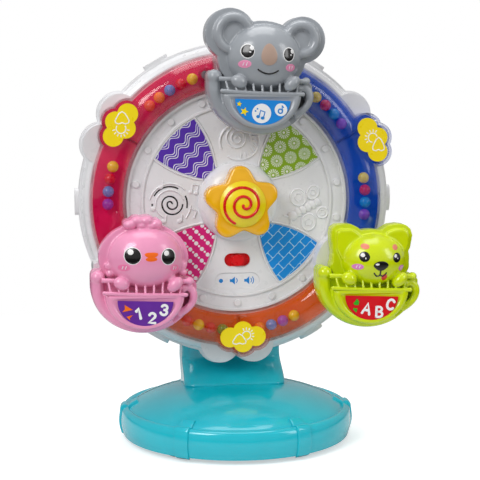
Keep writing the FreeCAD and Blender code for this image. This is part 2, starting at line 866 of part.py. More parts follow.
def track_tray(angle):
    """The coloured floor of a track, inside the cover."""
    seat_y = track_top_y - label_seat_proud
    in_w, in_h = track_half_w - track_wall, track_h - track_wall
    room = track_arch(in_w, in_h, track_sweep_deg)
    room = room.cut(boss_strips(track_end_side + track_wall + tray_gap))
    seat = flower(angle, label_margin - track_wall - tray_gap)
    room = room.fuse(slab(seat, seat_y, case_y))
    floor = tube(track_r + in_w - tray_margin, track_r - in_w + tray_margin, tray_y, case_y)
    floor = floor.fuse(slab(seat, tray_y, case_y))
    plate = room.common(floor)
    holes = []
    for side in (-1, 1):
        p = at(track_r, side * post_angle_deg)
        holes.append(rod(screw_r + screw_hole_gap, tray_y, case_y, p.x, p.z))
    return turn(plate.cut(holes).removeSplitter(), angle)


def weather_labels():
    seat = track_top_y - label_seat_proud
    return [turn(slab(flower(a, 0.0), seat - label_t, seat), a) for a in label_angles]


def beads(centre, side, count, start):
    """One compartment's beads, in a row along the track."""
    found = []
    for k in range(count):
        p = at(track_r, centre + side * (start + k * bead_pitch_deg), bead_y)
        found.append(Part.makeSphere(bead_r, p))
    return found


# Panels and hub


def panel(angle):
    """A petal-shaped texture panel with bowed sides, on the case's face."""

    def p(place, side):
        return Vector(side * place[1], 0, axle_z + math.sqrt(place[0] ** 2 - place[1] ** 2))

    inner_l, inner_r = p(panel_inner, -1), p(panel_inner, 1)
    outer_l, outer_r = p(panel_outer, -1), p(panel_outer, 1)
    edges = [
        Part.Arc(inner_l, p(panel_middle, -1), outer_l).toShape(),
        Part.Arc(outer_l, Vector(0, 0, axle_z + panel_outer[0]), outer_r).toShape(),
        Part.Arc(outer_r, p(panel_middle, 1), inner_r).toShape(),
        Part.Arc(inner_r, Vector(0, 0, axle_z + panel_inner[0]), inner_l).toShape(),
    ]
    face = Part.Face(Part.Wire(edges))
    plate = slab(face, case_y - panel_t, case_y).cut(rod(hub_r + 0.2, case_y - 5, case_y))
    return turn(plate, angle)


def hub_form(grow):
    """The hub dome as a full solid, grown forwards and outwards."""
    low = Vector(0, case_y, axle_z + hub_r + grow)
    high = Vector(0, hub_front_y - grow, axle_z + hub_top_r)
    middle = Vector(0, case_y - (hub_h + grow) * 0.62, axle_z + (hub_r + grow) * 0.9)
    top = Vector(0, hub_front_y - grow, axle_z)
    edges = [
        Part.Arc(low, middle, high).toShape(),
        Part.LineSegment(high, top).toShape(),
        Part.LineSegment(top, Vector(0, case_y, axle_z)).toShape(),
        Part.LineSegment(Vector(0, case_y, axle_z), low).toShape(),
    ]
    return spun(Part.Face(Part.Wire(edges)), 0, 360)


def hub_dome():
    shell = hub_form(0.0).cut(hub_form(-case_wall))
    seat = tube(spring_r + 1.5, stem_r + stem_gap, hub_front_y, hub_front_y + case_wall)
    bore = rod(stem_r + stem_gap, hub_front_y - 1, case_y)
    return shell.fuse(seat).cut(bore).removeSplitter()


def star_face():
    """A star with five round lobes."""
    lobe_at = star_tip_r - star_lobe_r
    faces = [disc(0, axle_z, star_valley_r)]
    for k in range(5):
        a = 72.0 * k
        lobe = disc(0, axle_z + lobe_at, star_lobe_r)
        web = outline([(-star_lobe_r, axle_z + lobe_at), (star_lobe_r, axle_z + lobe_at),
                       (star_valley_r * 0.62, axle_z + 4), (-star_valley_r * 0.62, axle_z + 4)])
        faces += [turn(lobe, a), turn(web, a)]
    return turn(union(faces), star_turn)


def star_front_y():
    return hub_front_y + star_lift - star_h


def star_button():
    """The star, hollowed over the hub dome by its travel, with its stem."""
    body = slab(star_face(), star_front_y(), star_front_y() + star_h)
    body = body.cut(hub_form(star_travel + 0.3))
    stem = rod(stem_r, star_front_y() + 2, stem_end_y())
    return body.fuse(stem).removeSplitter()


def stem_end_y():
    return board_y - tact_h - star_travel - 0.1


def retainer_y():
    return hub_front_y + case_wall + 0.2


def star_retainer():
    """The ring on the stem that keeps the star in the dome."""
    return tube(spring_r, stem_r, retainer_y(), retainer_y() + retainer_t)


def star_disc():
    """The round yellow disc on the star, a low dome."""
    y = star_front_y()
    ball_r = (star_disc_r**2 + star_disc_h**2) / (2 * star_disc_h)
    ball = Part.makeSphere(ball_r, Vector(0, y - star_disc_h + ball_r, axle_z))
    return ball.common(rod(star_disc_r + 1, y - star_disc_h - 1, y))


def star_spring():
    """The return spring around the stem, drawn at its pressed length."""
    front = retainer_y() + retainer_t + star_travel + 0.1
    return tube(spring_r, spring_r - spring_wire, front, board_y)


# Inside the wheel


def board_posts():
    x = board_half_w - 3.0
    return [(side * x, axle_z + dz) for side in (-1, 1) for dz in (board_up - 3.0, -board_post_drop)]


def circuit_board():
    """The board with its push switch under the star."""
    board = block(-board_half_w, board_y, axle_z - board_down, board_half_w, board_y + board_t, axle_z + board_up)
    push = block(-tact_half, board_y - tact_h, axle_z - tact_half, tact_half, board_y, axle_z + tact_half)
    holes = [rod(0.8, board_y, board_y + board_t, x, z) for x, z in board_posts()]
    return board.fuse(push).cut(holes).removeSplitter()


def slide_switch():
    x, z, h = switch_body
    zc = axle_z - switch_drop
    body = block(-x / 2, board_y - h, zc - z / 2, x / 2, board_y, zc + z / 2)
    return body


def switch_knob():
    """The red slider: a plate behind the slot and a grip that stands through it."""
    zc = axle_z - switch_drop
    y0 = case_front_in + slider_gap
    plate = stadium(0, zc, slot_half_l + knob_travel + 0.6, slot_r + 1.6)
    body = slab(plate, y0, y0 + slider_t)
    grip = slab(stadium(0, zc, knob_half_l, slot_r - knob_gap - 0.4), case_y - knob_proud, y0)
    return body.fuse(grip).removeSplitter()


def loudspeaker():
    z = axle_z - speaker_drop
    cone = rod(speaker_r, case_front_in, case_front_in + speaker_t, speaker_x, z)
    magnet = rod(magnet_r, case_front_in + speaker_t, case_front_in + speaker_t + magnet_t, speaker_x, z)
    return cone.fuse(magnet).removeSplitter()


def battery_rows():
    """Heights of the two batteries."""
    step = battery_r + battery_gap / 2
    z = axle_z - battery_drop - 4.0
    return [z + step, z - step]


def battery_y():
    return case_back_in - battery_r - 0.2


def batteries():
    found = []
    for z in battery_rows():
        left = battery_x - battery_l / 2
        cell = bar(battery_r, left, battery_y(), z, left + battery_l - 1.0, battery_y(), z)
        tip = bar(1.9, left + battery_l - 1.0, battery_y(), z, left + battery_l, battery_y(), z)
        found.append(cell.fuse(tip).removeSplitter())
    return found


def battery_contacts():
    z0, z1 = battery_rows()[1] - battery_r, battery_rows()[0] + battery_r
    y0, y1 = battery_y() - battery_r + 1, battery_y() + battery_r - 1
    left, right = battery_x - battery_l / 2, battery_x + battery_l / 2
    return [
        block(right, y0, z0, right + contact_t, y1, z1),
        block(left - contact_t, y0, z0, left, y1, z1),
    ]


def battery_box():
    """A tray for the batteries, open to the back."""
    half = battery_l / 2 + contact_t + battery_gap / 2
    z0, z1 = battery_rows()[1] - battery_r - battery_gap, battery_rows()[0] + battery_r + battery_gap
    y0 = battery_y() - battery_r - battery_gap / 2
    y1 = case_back_in - 1.0
    wall = 1.0
    left, right = battery_x - half, battery_x + half
    body = block(left - wall, y0 - wall, z0 - wall, right + wall, y1, z1 + wall)
    return body.cut(block(left, y0, z0, right, y1, z1))


def battery_door():
    z = axle_z - battery_drop
    left, right = battery_x - door_half_w + door_gap, battery_x + door_half_w - door_gap
    low, high = z - door_half_h - 4 + door_gap, z + door_half_h - 2 - door_gap
    return block(left, case_back_y - door_t, low, right, case_back_y, high)


# Carriages


def place(shape, animal):
    """Moves a shape from the carriage's own pin axis to its pin on the wheel."""
    placed = shape.copy()
    placed.translate(at(pivot_ring_r, pivot_angles[animal]))
    return placed


def half_cup(x, top, half_w, drop):
    """A half-round face that hangs from a straight top edge."""
    return oval(x, top, half_w, drop).common(box_face(x - half_w, top - drop, x + half_w, top))


def cup_back_face(inset):
    half = back_half_w - inset
    drop = back_round - back_bottom - inset
    sides = box_face(cup_offset - half, back_round, cup_offset + half, back_top - inset)
    return union([half_cup(cup_offset, back_round, half, drop), sides])


def ear_faces(animal, inset):
    """The ears or the crest, as faces drawn in by the inset."""
    if animal == "koala":
        return [disc(x, z, r - inset) for x, z, r in koala_ears]
    if animal == "chick":
        return [disc(x, z, r - inset / 2) for x, z, r in chick_crest]
    found = [disc(x, z, r - inset) for x, z, r in dog_ears]
    for ear, side in zip(dog_ears, dog_ear_sides):
        k = (ear[2] - inset) / ear[2]
        found.append(outline([(ear[0] + (x - ear[0]) * k, ear[1] + (z - ear[1]) * k) for x, z in side]))
    return found


def back_faces(animal, inset):
    """The head part of the rear shell's outline."""
    x, z, half_w, half_h = heads[animal]
    wide, high = head_margin
    head = oval(x - 1.0, z, half_w + wide - inset, half_h + high - inset)
    cheeks = [disc(cx, cz, r - inset) for cx, cz, r in dog_cheeks] if animal == "dog" else []
    return union([head] + cheeks + ear_faces(animal, inset))


def carriage_rear_shell(animal):
    """The tray-shaped rear half of a carriage, with the bearing tube for its pin."""

    def form(inset, y0, y1):
        return [slab(cup_back_face(inset), y0, y1), slab(back_faces(animal, inset), y0, y1)]

    outer = union(form(0.0, carriage_lid_y, carriage_back_y))
    inner = union(form(carriage_wall, carriage_lid_y, carriage_back_y - carriage_wall))
    hub = rod(pin_hub_r, carriage_back_y - pin_hub_l, carriage_back_y, 0, 0)
    bore = rod(pin_r + pin_gap, carriage_back_y - pin_hub_l, carriage_back_y, 0, 0)
    return outer.cut(inner).fuse(hub).cut(bore).removeSplitter()


def ellipsoid(x, y, z, rx, ry, rz):
    """A full ellipsoid."""
    ball = Part.makeSphere(1.0)
    m = FreeCAD.Matrix()
    m.A11, m.A22, m.A33 = rx, ry, rz
    m.A14, m.A24, m.A34 = x, y, z
    return ball.transformGeometry(m)


def head_dome(animal, inset):
    x, z, half_w, half_h = heads[animal]
    full = ellipsoid(x, carriage_face_y, z, half_w - inset, head_h - inset, half_h - inset)
    return full.common(block(-90, carriage_face_y - 40, -60, 90, carriage_face_y, 90))


def bar(r, x0, y0, z0, x1, y1, z1):
    """A round bar between two points."""
    way = Vector(x1 - x0, y1 - y0, z1 - z0)
    return Part.makeCylinder(r, way.Length, Vector(x0, y0, z0), way)


def cup_front_y():
    return carriage_face_y - cup_h


def rails():
    """The cup's two rails and the spindles between them."""
    left, right = cup_offset - rail_half_l, cup_offset + rail_half_l
    low_y = cup_front_y() + rail_r
    top_y = carriage_face_y - 6.5
    found = [
        bar(rail_r, left, low_y, cup_top, right, low_y, cup_top),
        bar(rail_r, left - 1, top_y, top_rail_z, right + 2, top_y, top_rail_z),
    ]
    for k in range(spindle_count):
        x = left + 4 + (right - left - 8) * k / (spindle_count - 1)
        found.append(bar(spindle_r, x, low_y, cup_top, x, top_y, top_rail_z))
    return found


def cup_front(animal):
    """The cup: a lid over the rear shell, a half-round bowl, rails, posts and a handle."""
    y = carriage_face_y
    lid = slab(cup_back_face(0.0).common(box_face(-90, -60, 90, head_split)), y, carriage_lid_y)
    bowl = slab(half_cup(cup_offset, cup_top, cup_half_w, cup_drop), cup_front_y(), y)
    room = half_cup(cup_offset, cup_top - 1.5, cup_half_w - 2.5, cup_drop - 3.0)
    pocket = slab(room, cup_front_y() + 2.8, y)
    inset = half_cup(cup_offset, label_top + 0.3, label_half_w + 0.3, label_drop + 0.6)
    recess = slab(inset, cup_front_y(), cup_front_y() + label_inset)
    left = cup_offset - back_half_w
    left_post = slab(box_face(left, cup_top - 4, left + 2 * post_half_w, back_top), y - post_h, y)
    left_post = left_post.common(slab(cup_back_face(0.0), y - post_h, y))
    ring = oval(cup_offset + handle_x, handle_z, *handle_out)
    ring = ring.cut(oval(cup_offset + handle_x, handle_z, *handle_in))
    handle = slab(ring, y - handle_h, y)
    right = cup_offset + rail_half_l
    right_post = slab(box_face(right - 1.5, cup_top + 2, right + 3.5, top_rail_z + 3), y - post_h, y)
    solid = bowl.cut([pocket, recess]).fuse([lid, left_post, right_post, handle] + rails())
    return solid.cut(head_dome(animal, -seat_gap)).removeSplitter()


def paws(animal):
    y = carriage_face_y - 8.5
    found = []
    for side in (-1, 1):
        x = paw_x + side * paw_side
        inner = paw_x + side * (paw_side - 6)
        arm = bar(2.6, x, y, paw_z + 1.0, inner, carriage_face_y - 4, paw_z + 7)
        found += [Part.makeSphere(paw_r, Vector(x, y, paw_z)), arm]
    return found


def head_front(animal):
    """The head: a lid over the rear shell's upper part, a hollow dome, ears and paws."""
    upper = box_face(-90, head_split, 90, 90)
    lid = slab(back_faces(animal, 0.0).common(upper), carriage_face_y, carriage_lid_y)
    ears = [
        slab(f.common(upper), carriage_face_y - ear_h, carriage_face_y)
        for f in ear_faces(animal, ear_inset)
    ]
    solid = lid.fuse([head_dome(animal, 0.0)] + ears + paws(animal))
    return solid.cut(head_dome(animal, carriage_wall))


def cup_label():
    y = cup_front_y() + label_inset
    face = half_cup(cup_offset, label_top, label_half_w, label_drop)
    return slab(face, y - sticker_t, y)


def ballast():
    """A steel weight on the cup's light side, so that the carriage hangs level."""
    y1 = carriage_back_y - carriage_wall
    room = slab(cup_back_face(carriage_wall + ballast_gap), y1 - ballast_t, y1)
    high = block(-90, -90, -60, ballast_right, y1, ballast_top)
    low = block(-90, -90, -60, ballast_low_right, y1, ballast_low_top)
    return room.common(high.fuse(low)).removeSplitter()


def carriage_pins():
    found = []
    for angle in pivot_angles.values():
        p = at(pivot_ring_r, angle)
        inner = boss_front_y + case_wall
        end = carriage_back_y - pin_hub_l - end_gap
        pin = rod(pin_r, end, inner, p.x, p.z).fuse(rod(pin_flange_r, inner, inner + pin_flange_t, p.x, p.z))
        found.append(pin.cut(rod(screw_r, end, end + 6, p.x, p.z)).removeSplitter())
    return found


def pin_caps():
    found = []
    for angle in pivot_angles.values():
        p = at(pivot_ring_r, angle)
        end = carriage_back_y - pin_hub_l - end_gap
        cap = rod(pin_hub_r - 0.6, end - cap_t, end, p.x, p.z)
        found.append(cap.fuse(rod(screw_r, end, end + 5, p.x, p.z)).removeSplitter())
    return found


def build_stand():
    save("base_cover", [base_cover()])
    save("base_plate", [base_plate()])
    save("base_feet", base_feet())
    front, rear = column_shells()
    save("column_front_shell", [front])
    save("column_rear_shell", [rear])
    save("axle", [axle()])
    save("axle_washer", [axle_washer()])
    save("stand_screws", stand_screws())


def build_wheel():
    save("wheel_front_shell", [wheel_front_shell()])
    save("wheel_rear_shell", [wheel_rear_shell()])
    save("wheel_screws", wheel_screws())
    save("wheel_bush", [wheel_bush()])
    for colour, angle in track_of.items():
        save("track_cover_" + colour, [track_cover(angle)])
        save("track_tray_" + colour, [track_tray(angle)])
    for name, group in bead_groups.items():
        save("beads_" + name, beads(*group))
    save("weather_labels", weather_labels())
    for colour, angle in (("purple", -45.0), ("green", 45.0), ("blue", 135.0), ("pink", -135.0)):
        save("texture_panel_" + colour, [panel(angle)])
    save("hub_dome", [hub_dome()])
    save("star_spring", [star_spring()])
    save("circuit_board", [circuit_board()])
    save("slide_switch", [slide_switch()])
    save("loudspeaker", [loudspeaker()])
    save("batteries", batteries())
    save("battery_contacts", battery_contacts())
    save("battery_box", [battery_box()])
    save("battery_door", [battery_door()])
    save("carriage_pins", carriage_pins())
    save("pin_caps", pin_caps())


def build_controls():
    save("star_button", [star_button()])
    save("star_retainer", [star_retainer()])
    save("star_disc", [star_disc()])
    save("switch_knob", [switch_knob()])


def build_carriages():
    for animal in pivot_angles:
        save(animal + "_rear_shell", [place(carriage_rear_shell(animal), animal)])
        cup = cup_front(animal)
        save(animal + "_cup", [place(cup, animal)])
        save(animal + "_head", [place(head_front(animal).cut(cup).removeSplitter(), animal)])
        save(animal + "_label", [place(cup_label(), animal)])
        save(animal + "_ballast", [place(ballast(), animal)])


os.makedirs("parts", exist_ok=True)
build_stand()
build_wheel()
build_controls()
build_carriages()
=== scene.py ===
import bpy
import json
import math
from mathutils import Euler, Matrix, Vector


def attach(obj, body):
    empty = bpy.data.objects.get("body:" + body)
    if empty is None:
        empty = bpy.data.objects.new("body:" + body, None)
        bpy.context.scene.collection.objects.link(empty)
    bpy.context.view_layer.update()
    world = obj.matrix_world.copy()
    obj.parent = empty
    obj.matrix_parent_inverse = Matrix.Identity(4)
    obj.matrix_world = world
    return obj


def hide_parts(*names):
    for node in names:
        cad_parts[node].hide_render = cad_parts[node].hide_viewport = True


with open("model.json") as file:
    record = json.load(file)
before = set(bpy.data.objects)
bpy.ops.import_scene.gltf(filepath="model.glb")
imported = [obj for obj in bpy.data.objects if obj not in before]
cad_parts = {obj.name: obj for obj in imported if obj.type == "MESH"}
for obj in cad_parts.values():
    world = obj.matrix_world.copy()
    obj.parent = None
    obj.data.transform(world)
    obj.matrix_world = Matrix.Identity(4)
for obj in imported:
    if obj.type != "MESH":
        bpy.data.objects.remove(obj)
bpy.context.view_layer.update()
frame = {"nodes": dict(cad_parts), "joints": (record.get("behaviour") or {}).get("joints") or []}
bpy.ops.object.select_all(action="DESELECT")
cad = frame["nodes"]
pins = {j["child"]: j["pos_m"] for j in frame["joints"] if j["type"] == "hinge"}

# Sizes in millimetres, as in the solids; everything is placed in metres
MM = 0.001
AXLE_Z = pins["wheel"][2] * 1000
FACE_Y = -7.0
CARRIAGE_BACK = -19.3
LID_Y = -30.0
CUP_Y = -32.0
BOWL_Y = -43.0
CUP_X = 10.3
LABEL_Y = -42.85
LABEL_UP = 1.0
LEAN = {"koala": (0.0, 0.0), "chick": (-1.6, 0.6), "dog": (-1.2, 0.3)}
PIN = {}
for animal, (aside, up) in LEAN.items():
    place = pins[animal + "_carriage"]
    PIN[animal] = (place[0] * 1000 + aside, place[2] * 1000 + up)
HEAD = {"koala": (12.6, 8.6, 22.9, 20.2), "chick": (11.2, 8.6, 23.2, 19.0), "dog": (13.4, 4.8, 20.4, 16.5)}
LABELS = {"pink": (89.6, -56.7), "blue": (94.2, 65.5), "orange": (86.3, 178.7)}
HEAD_H = 16.0


def paint(r, g, b):
    """A screen colour, 0 to 255, as the light value that shaders take."""
    shares = (r / 255, g / 255, b / 255)
    return tuple(c / 12.92 if c <= 0.04045 else ((c + 0.055) / 1.055) ** 2.4 for c in shares) + (1.0,)


def node(tree, kind, inputs, operation=None):
    """A shader node, each input set to a value or linked to a socket."""
    made = tree.nodes.new("ShaderNode" + kind)
    if operation:
        made.operation = operation
    for key, value in inputs.items():
        if isinstance(value, bpy.types.NodeSocket):
            tree.links.new(value, made.inputs[key])
        else:
            made.inputs[key].default_value = value
    return made


# Camera, lights and backdrop

FULL_WHITE = (1.0, 1.0, 1.0, 1.0)
WORLD_LEVEL = 0.42
FLOOR_GREY = (0.8, 0.8, 0.8, 1.0)
FLOOR_GLOW = 0.5
FADE_FROM, FADE_TO = 0.16, 0.5


def set_camera():
    """The camera stands a little left of the front and above, as in the photo."""
    turn, lift, far = math.radians(-9.0), math.radians(6.8), 0.843
    target = Vector((0.00285, 0.0, 0.1285))
    way = Vector((math.sin(turn) * math.cos(lift), -math.cos(turn) * math.cos(lift), math.sin(lift)))
    bpy.ops.object.camera_add(location=target + way * far)
    camera = bpy.context.object
    camera.rotation_euler = (-way).to_track_quat("-Z", "Y").to_euler()
    camera.data.lens = 97.5
    camera.data.sensor_width = 36.0
    camera.data.clip_start = 0.01
    bpy.context.scene.camera = camera


def softbox(name, place, aim, width, height, watts):
    bpy.ops.object.light_add(type="AREA", location=place)
    lamp = bpy.context.object
    lamp.name = name
    lamp.data.shape = "RECTANGLE"
    lamp.data.size = width
    lamp.data.size_y = height
    lamp.data.energy = watts
    lamp.rotation_euler = (Vector(aim) - Vector(place)).to_track_quat("-Z", "Y").to_euler()


def set_studio():
    middle = (0.0, 0.0, 0.14)
    softbox("window_left", (-0.75, -0.75, 0.85), middle, 0.5, 0.7, 8.0)
    softbox("window_right", (0.8, -0.65, 0.55), middle, 0.3, 0.7, 2.6)
    softbox("overhead", (0.0, 0.1, 1.15), middle, 0.8, 0.8, 5.0)
    world = bpy.context.scene.world or bpy.data.worlds.new("studio")
    bpy.context.scene.world = world
    world.use_nodes = True
    tree = world.node_tree
    tree.nodes.clear()
    light = node(tree, "Background", {"Color": FULL_WHITE, "Strength": WORLD_LEVEL})
    white = node(tree, "Background", {"Color": FULL_WHITE, "Strength": 1.0})
    seen = node(tree, "LightPath", {}).outputs["Is Camera Ray"]
    mix = node(tree, "MixShader", {0: seen, 1: light.outputs[0], 2: white.outputs[0]})
    node(tree, "OutputWorld", {"Surface": mix.outputs[0]})
    bpy.context.scene.view_settings.view_transform = "Standard"


def lay_floor():
    """A pale floor that keeps the shadow and fades to white away from the object."""
    bpy.ops.mesh.primitive_plane_add(size=6.0, location=(0, 0, 0))
    floor = bpy.context.object
    floor.name = "studio_floor"
    paper = bpy.data.materials.new("studio_paper")
    paper.use_nodes = True
    tree = paper.node_tree
    tree.nodes.clear()
    seen = node(tree, "LightPath", {}).outputs["Is Camera Ray"]
    glows = []
    for level in (FLOOR_GLOW, 1.0):
        strength = node(tree, "Math", {0: seen, 1: level}, "MULTIPLY").outputs[0]
        glows.append(node(tree, "Emission", {"Strength": strength}).outputs[0])
    place = node(tree, "TexCoord", {}).outputs["Object"]
    reach = node(tree, "VectorMath", {0: place}, "LENGTH").outputs["Value"]
    fade = node(tree, "MapRange", {"Value": reach, "From Min": FADE_FROM, "From Max": FADE_TO})
    matt = node(tree, "BsdfDiffuse", {"Color": FLOOR_GREY})
    near = node(tree, "AddShader", {0: matt.outputs[0], 1: glows[0]})
    blend = node(tree, "MixShader", {0: fade.outputs[0], 1: near.outputs[0], 2: glows[1]})
    node(tree, "OutputMaterial", {"Surface": blend.outputs[0]})
    floor.data.materials.append(paper)


# Materials


class Finish:
    """A material's node tree, with short calls for the nodes that the finishes share."""

    def __init__(self, name):
        self.material = bpy.data.materials.new(name)
        self.material.use_nodes = True
        self.tree = self.material.node_tree
        self.shader = self.tree.nodes["Principled BSDF"]
        self.place = self.tree.nodes.new("ShaderNodeTexCoord").outputs["Object"]

    def plug(self, socket, value):
        if isinstance(value, (int, float, tuple)):
            socket.default_value = value
        else:
            self.tree.links.new(value, socket)

    def math(self, operation, a, b=0.0, c=0.0):
        return node(self.tree, "Math", {0: a, 1: b, 2: c}, operation).outputs[0]

    def noise(self, scale, detail=3.0):
        settings = {"Scale": scale, "Detail": detail, "Vector": self.place}
        return node(self.tree, "TexNoise", settings).outputs["Fac"]

    def spread(self, value, low, high, to_low, to_high):
        settings = {"Value": value, "From Min": low, "From Max": high, "To Min": to_low, "To Max": to_high}
        return node(self.tree, "MapRange", settings).outputs["Result"]

    def mix(self, share, a, b):
        made = node(self.tree, "Mix", {"Factor": share, 6: a, 7: b})
        made.data_type = "RGBA"
        return made.outputs[2]

    def centred(self, x, z, turn=0.0):
        """Right and up in millimetres from a point of the front face, turned clockwise."""
        settings = {
            "Vector": self.place,
            "Location": (x * MM, 0, z * MM),
            "Rotation": (0, math.radians(turn), 0),
            "Scale": (MM, MM, MM),
        }
        made = node(self.tree, "Mapping", settings)
        made.vector_type = "TEXTURE"
        split = node(self.tree, "SeparateXYZ", {0: made.outputs[0]})
        return split.outputs[0], split.outputs[2]

    def surface(self, colour, rough, grain=0.02, grain_scale=1800.0, edge=0.0, spread=0.05):
        """Moulded finish: a faint cloudiness, uneven gloss, fine grain and eased edges."""
        cloud = self.noise(60.0)
        darker = self.mix(self.spread(cloud, 0.35, 0.65, 0.0, 1.0), colour, self.shaded(colour, 1.0 - spread))
        self.plug(self.shader.inputs["Base Color"], darker)
        uneven = self.spread(self.noise(220.0), 0.3, 0.7, rough * 0.85, rough * 1.2)
        self.plug(self.shader.inputs["Roughness"], uneven)
        height = self.noise(grain_scale, 2.0)
        bump = node(self.tree, "Bump", {"Strength": grain, "Distance": 0.0002, "Height": height})
        if edge:
            rounded = node(self.tree, "Bevel", {"Radius": edge * MM})
            rounded.samples = 6
            self.tree.links.new(rounded.outputs[0], bump.inputs["Normal"])
        self.tree.links.new(bump.outputs[0], self.shader.inputs["Normal"])
        return self.material

    def shaded(self, colour, share):
        if not isinstance(colour, tuple):
            return node(self.tree, "HueSaturation", {"Value": share, "Color": colour}).outputs[0]
        return tuple(c * share for c in colour[:3]) + (1.0,)


def moulded(name, colour, rough=0.2, edge=0.0, coat=0.25, grain=0.02):
    finish = Finish(name)
    finish.shader.inputs["Coat Weight"].default_value = coat
    finish.shader.inputs["Coat Roughness"].default_value = 0.06
    return finish.surface(colour, rough, grain=grain, edge=edge)


def metal(name, colour, rough):
    finish = Finish(name)
    finish.shader.inputs["Metallic"].default_value = 1.0
    return finish.surface(colour, rough, grain=0.05, grain_scale=3000.0)


def clear(name, colour, alpha):
    """Clear coloured plastic: see-through where it is looked at straight, fuller at its edges."""
    finish = Finish(name)
    facing = node(finish.tree, "LayerWeight", {"Blend": 0.5}).outputs["Facing"]
    fuller = finish.math("MULTIPLY", finish.math("POWER", facing, 2.5), 0.7)
    finish.plug(finish.shader.inputs["Alpha"], finish.math("ADD", fuller, alpha))
    finish.shader.inputs["Coat Weight"].default_value = 1.0
    finish.shader.inputs["Coat Roughness"].default_value = 0.02
    finish.shader.inputs["Coat IOR"].default_value = 2.4
    return finish.surface(colour, 0.08, grain=0.0, edge=0.5, spread=0.1)


def waves(finish, mask, ground, ink, rough=0.42):
    """A printed panel: ink where the mask is 1, on its ground."""
    colour = finish.mix(mask, ground, ink)
    finish.plug(finish.shader.inputs["Coat Weight"], 0.15)
    return finish.surface(colour, rough, grain=0.03)


def purple_panel():
    """White triple wavy lines that run across."""
    f = Finish("panel_purple_waves")
    u, v = f.centred(0, AXLE_Z, -45.0)
    sway = f.math("MULTIPLY", f.math("SINE", f.math("MULTIPLY", u, 2 * math.pi / 9.6)), 1.5)
    across = f.math("WRAP", f.math("ADD", v, sway), 4.2, -4.2)
    line = f.math("ABSOLUTE", f.math("WRAP", across, 0.8, -0.8))
    near = f.math("LESS_THAN", f.math("ABSOLUTE", across), 2.3)
    mask = f.math("MULTIPLY", f.math("LESS_THAN", line, 0.27), near)
    return waves(f, mask, paint(88, 42, 180), paint(250, 250, 255))


def green_panel():
    """White starbursts, each with a ring of short rays."""
    f = Finish("panel_green_bursts")
    u, v = f.centred(0, AXLE_Z, 45.0)
    row = f.math("FLOOR", f.math("DIVIDE", v, 8.0))
    shift = f.math("MULTIPLY", f.math("MODULO", f.math("ABSOLUTE", row), 2.0), 4.8)
    x = f.math("WRAP", f.math("ADD", u, shift), 4.8, -4.8)
    y = f.math("SUBTRACT", f.math("MODULO", f.math("ADD", v, 80.0), 8.0), 4.0)
    r = f.math("SQRT", f.math("ADD", f.math("MULTIPLY", x, x), f.math("MULTIPLY", y, y)))
    turn = f.math("MULTIPLY", f.math("ARCTAN2", y, x), 16 / (2 * math.pi))
    ray = f.math("LESS_THAN", f.math("ABSOLUTE", f.math("WRAP", turn, 0.5, -0.5)), 0.24)
    band = f.math("MULTIPLY", f.math("GREATER_THAN", r, 1.5), f.math("LESS_THAN", r, 3.9))
    dot = f.math("LESS_THAN", r, 0.8)
    mask = f.math("MAXIMUM", f.math("MULTIPLY", ray, band), dot)
    return waves(f, mask, paint(142, 182, 20), paint(250, 252, 240))


def blue_panel():
    """A light lattice of wavy lines that cross."""
    f = Finish("panel_blue_lattice")
    x, z = f.centred(0, AXLE_Z)
    step = 7.1
    turns = [f.math("MULTIPLY", k, 2 * math.pi / step) for k in (x, z)]
    sways = [f.math("MULTIPLY", f.math("SINE", turn), 1.5) for turn in turns]
    upright = f.math("ABSOLUTE", f.math("WRAP", f.math("ADD", x, sways[1]), step / 2, -step / 2))
    level = f.math("ABSOLUTE", f.math("WRAP", f.math("ADD", z, sways[0]), step / 2, -step / 2))
    mask = f.math("LESS_THAN", f.math("MINIMUM", upright, level), 0.28)
    return waves(f, mask, paint(0, 146, 235), paint(175, 222, 250))


def pink_panel():
    """Rows of large and small white dots."""
    f = Finish("panel_pink_dots")
    u, v = f.centred(0, AXLE_Z, -135.0)
    across = f.math("WRAP", v, 2.7, -2.7)
    xx = f.math("MULTIPLY", across, across)
    big_at = f.math("WRAP", u, 2.6, -2.6)
    small_at = f.math("WRAP", f.math("ADD", u, 2.6), 2.6, -2.6)
    big = f.math("LESS_THAN", f.math("ADD", xx, f.math("MULTIPLY", big_at, big_at)), 1.7)
    small = f.math("LESS_THAN", f.math("ADD", xx, f.math("MULTIPLY", small_at, small_at)), 0.5)
    return waves(f, f.math("MAXIMUM", big, small), paint(228, 22, 128), paint(252, 250, 252))


def bead_finish(name, centre, side, start, colours):
    """Each bead of a row in its own colour, told apart by its place along the track."""
    f = Finish(name)
    u, v = f.centred(0, AXLE_Z, centre)
    degrees = f.math("MULTIPLY", f.math("ARCTAN2", u, v), side * 180 / math.pi)
    step = f.math("DIVIDE", f.math("SUBTRACT", degrees, start - 2.75), 5.5 * len(colours))
    ramp = f.tree.nodes.new("ShaderNodeValToRGB")
    ramp.color_ramp.interpolation = "CONSTANT"
    while len(ramp.color_ramp.elements) < len(colours):
        ramp.color_ramp.elements.new(0.5)
    for k, colour in enumerate(colours):
        ramp.color_ramp.elements[k].position = k / len(colours)
        ramp.color_ramp.elements[k].color = colour
    f.tree.links.new(step, ramp.inputs[0])
    f.shader.inputs["Coat Weight"].default_value = 0.4
    return f.surface(ramp.outputs[0], 0.16, grain=0.01)


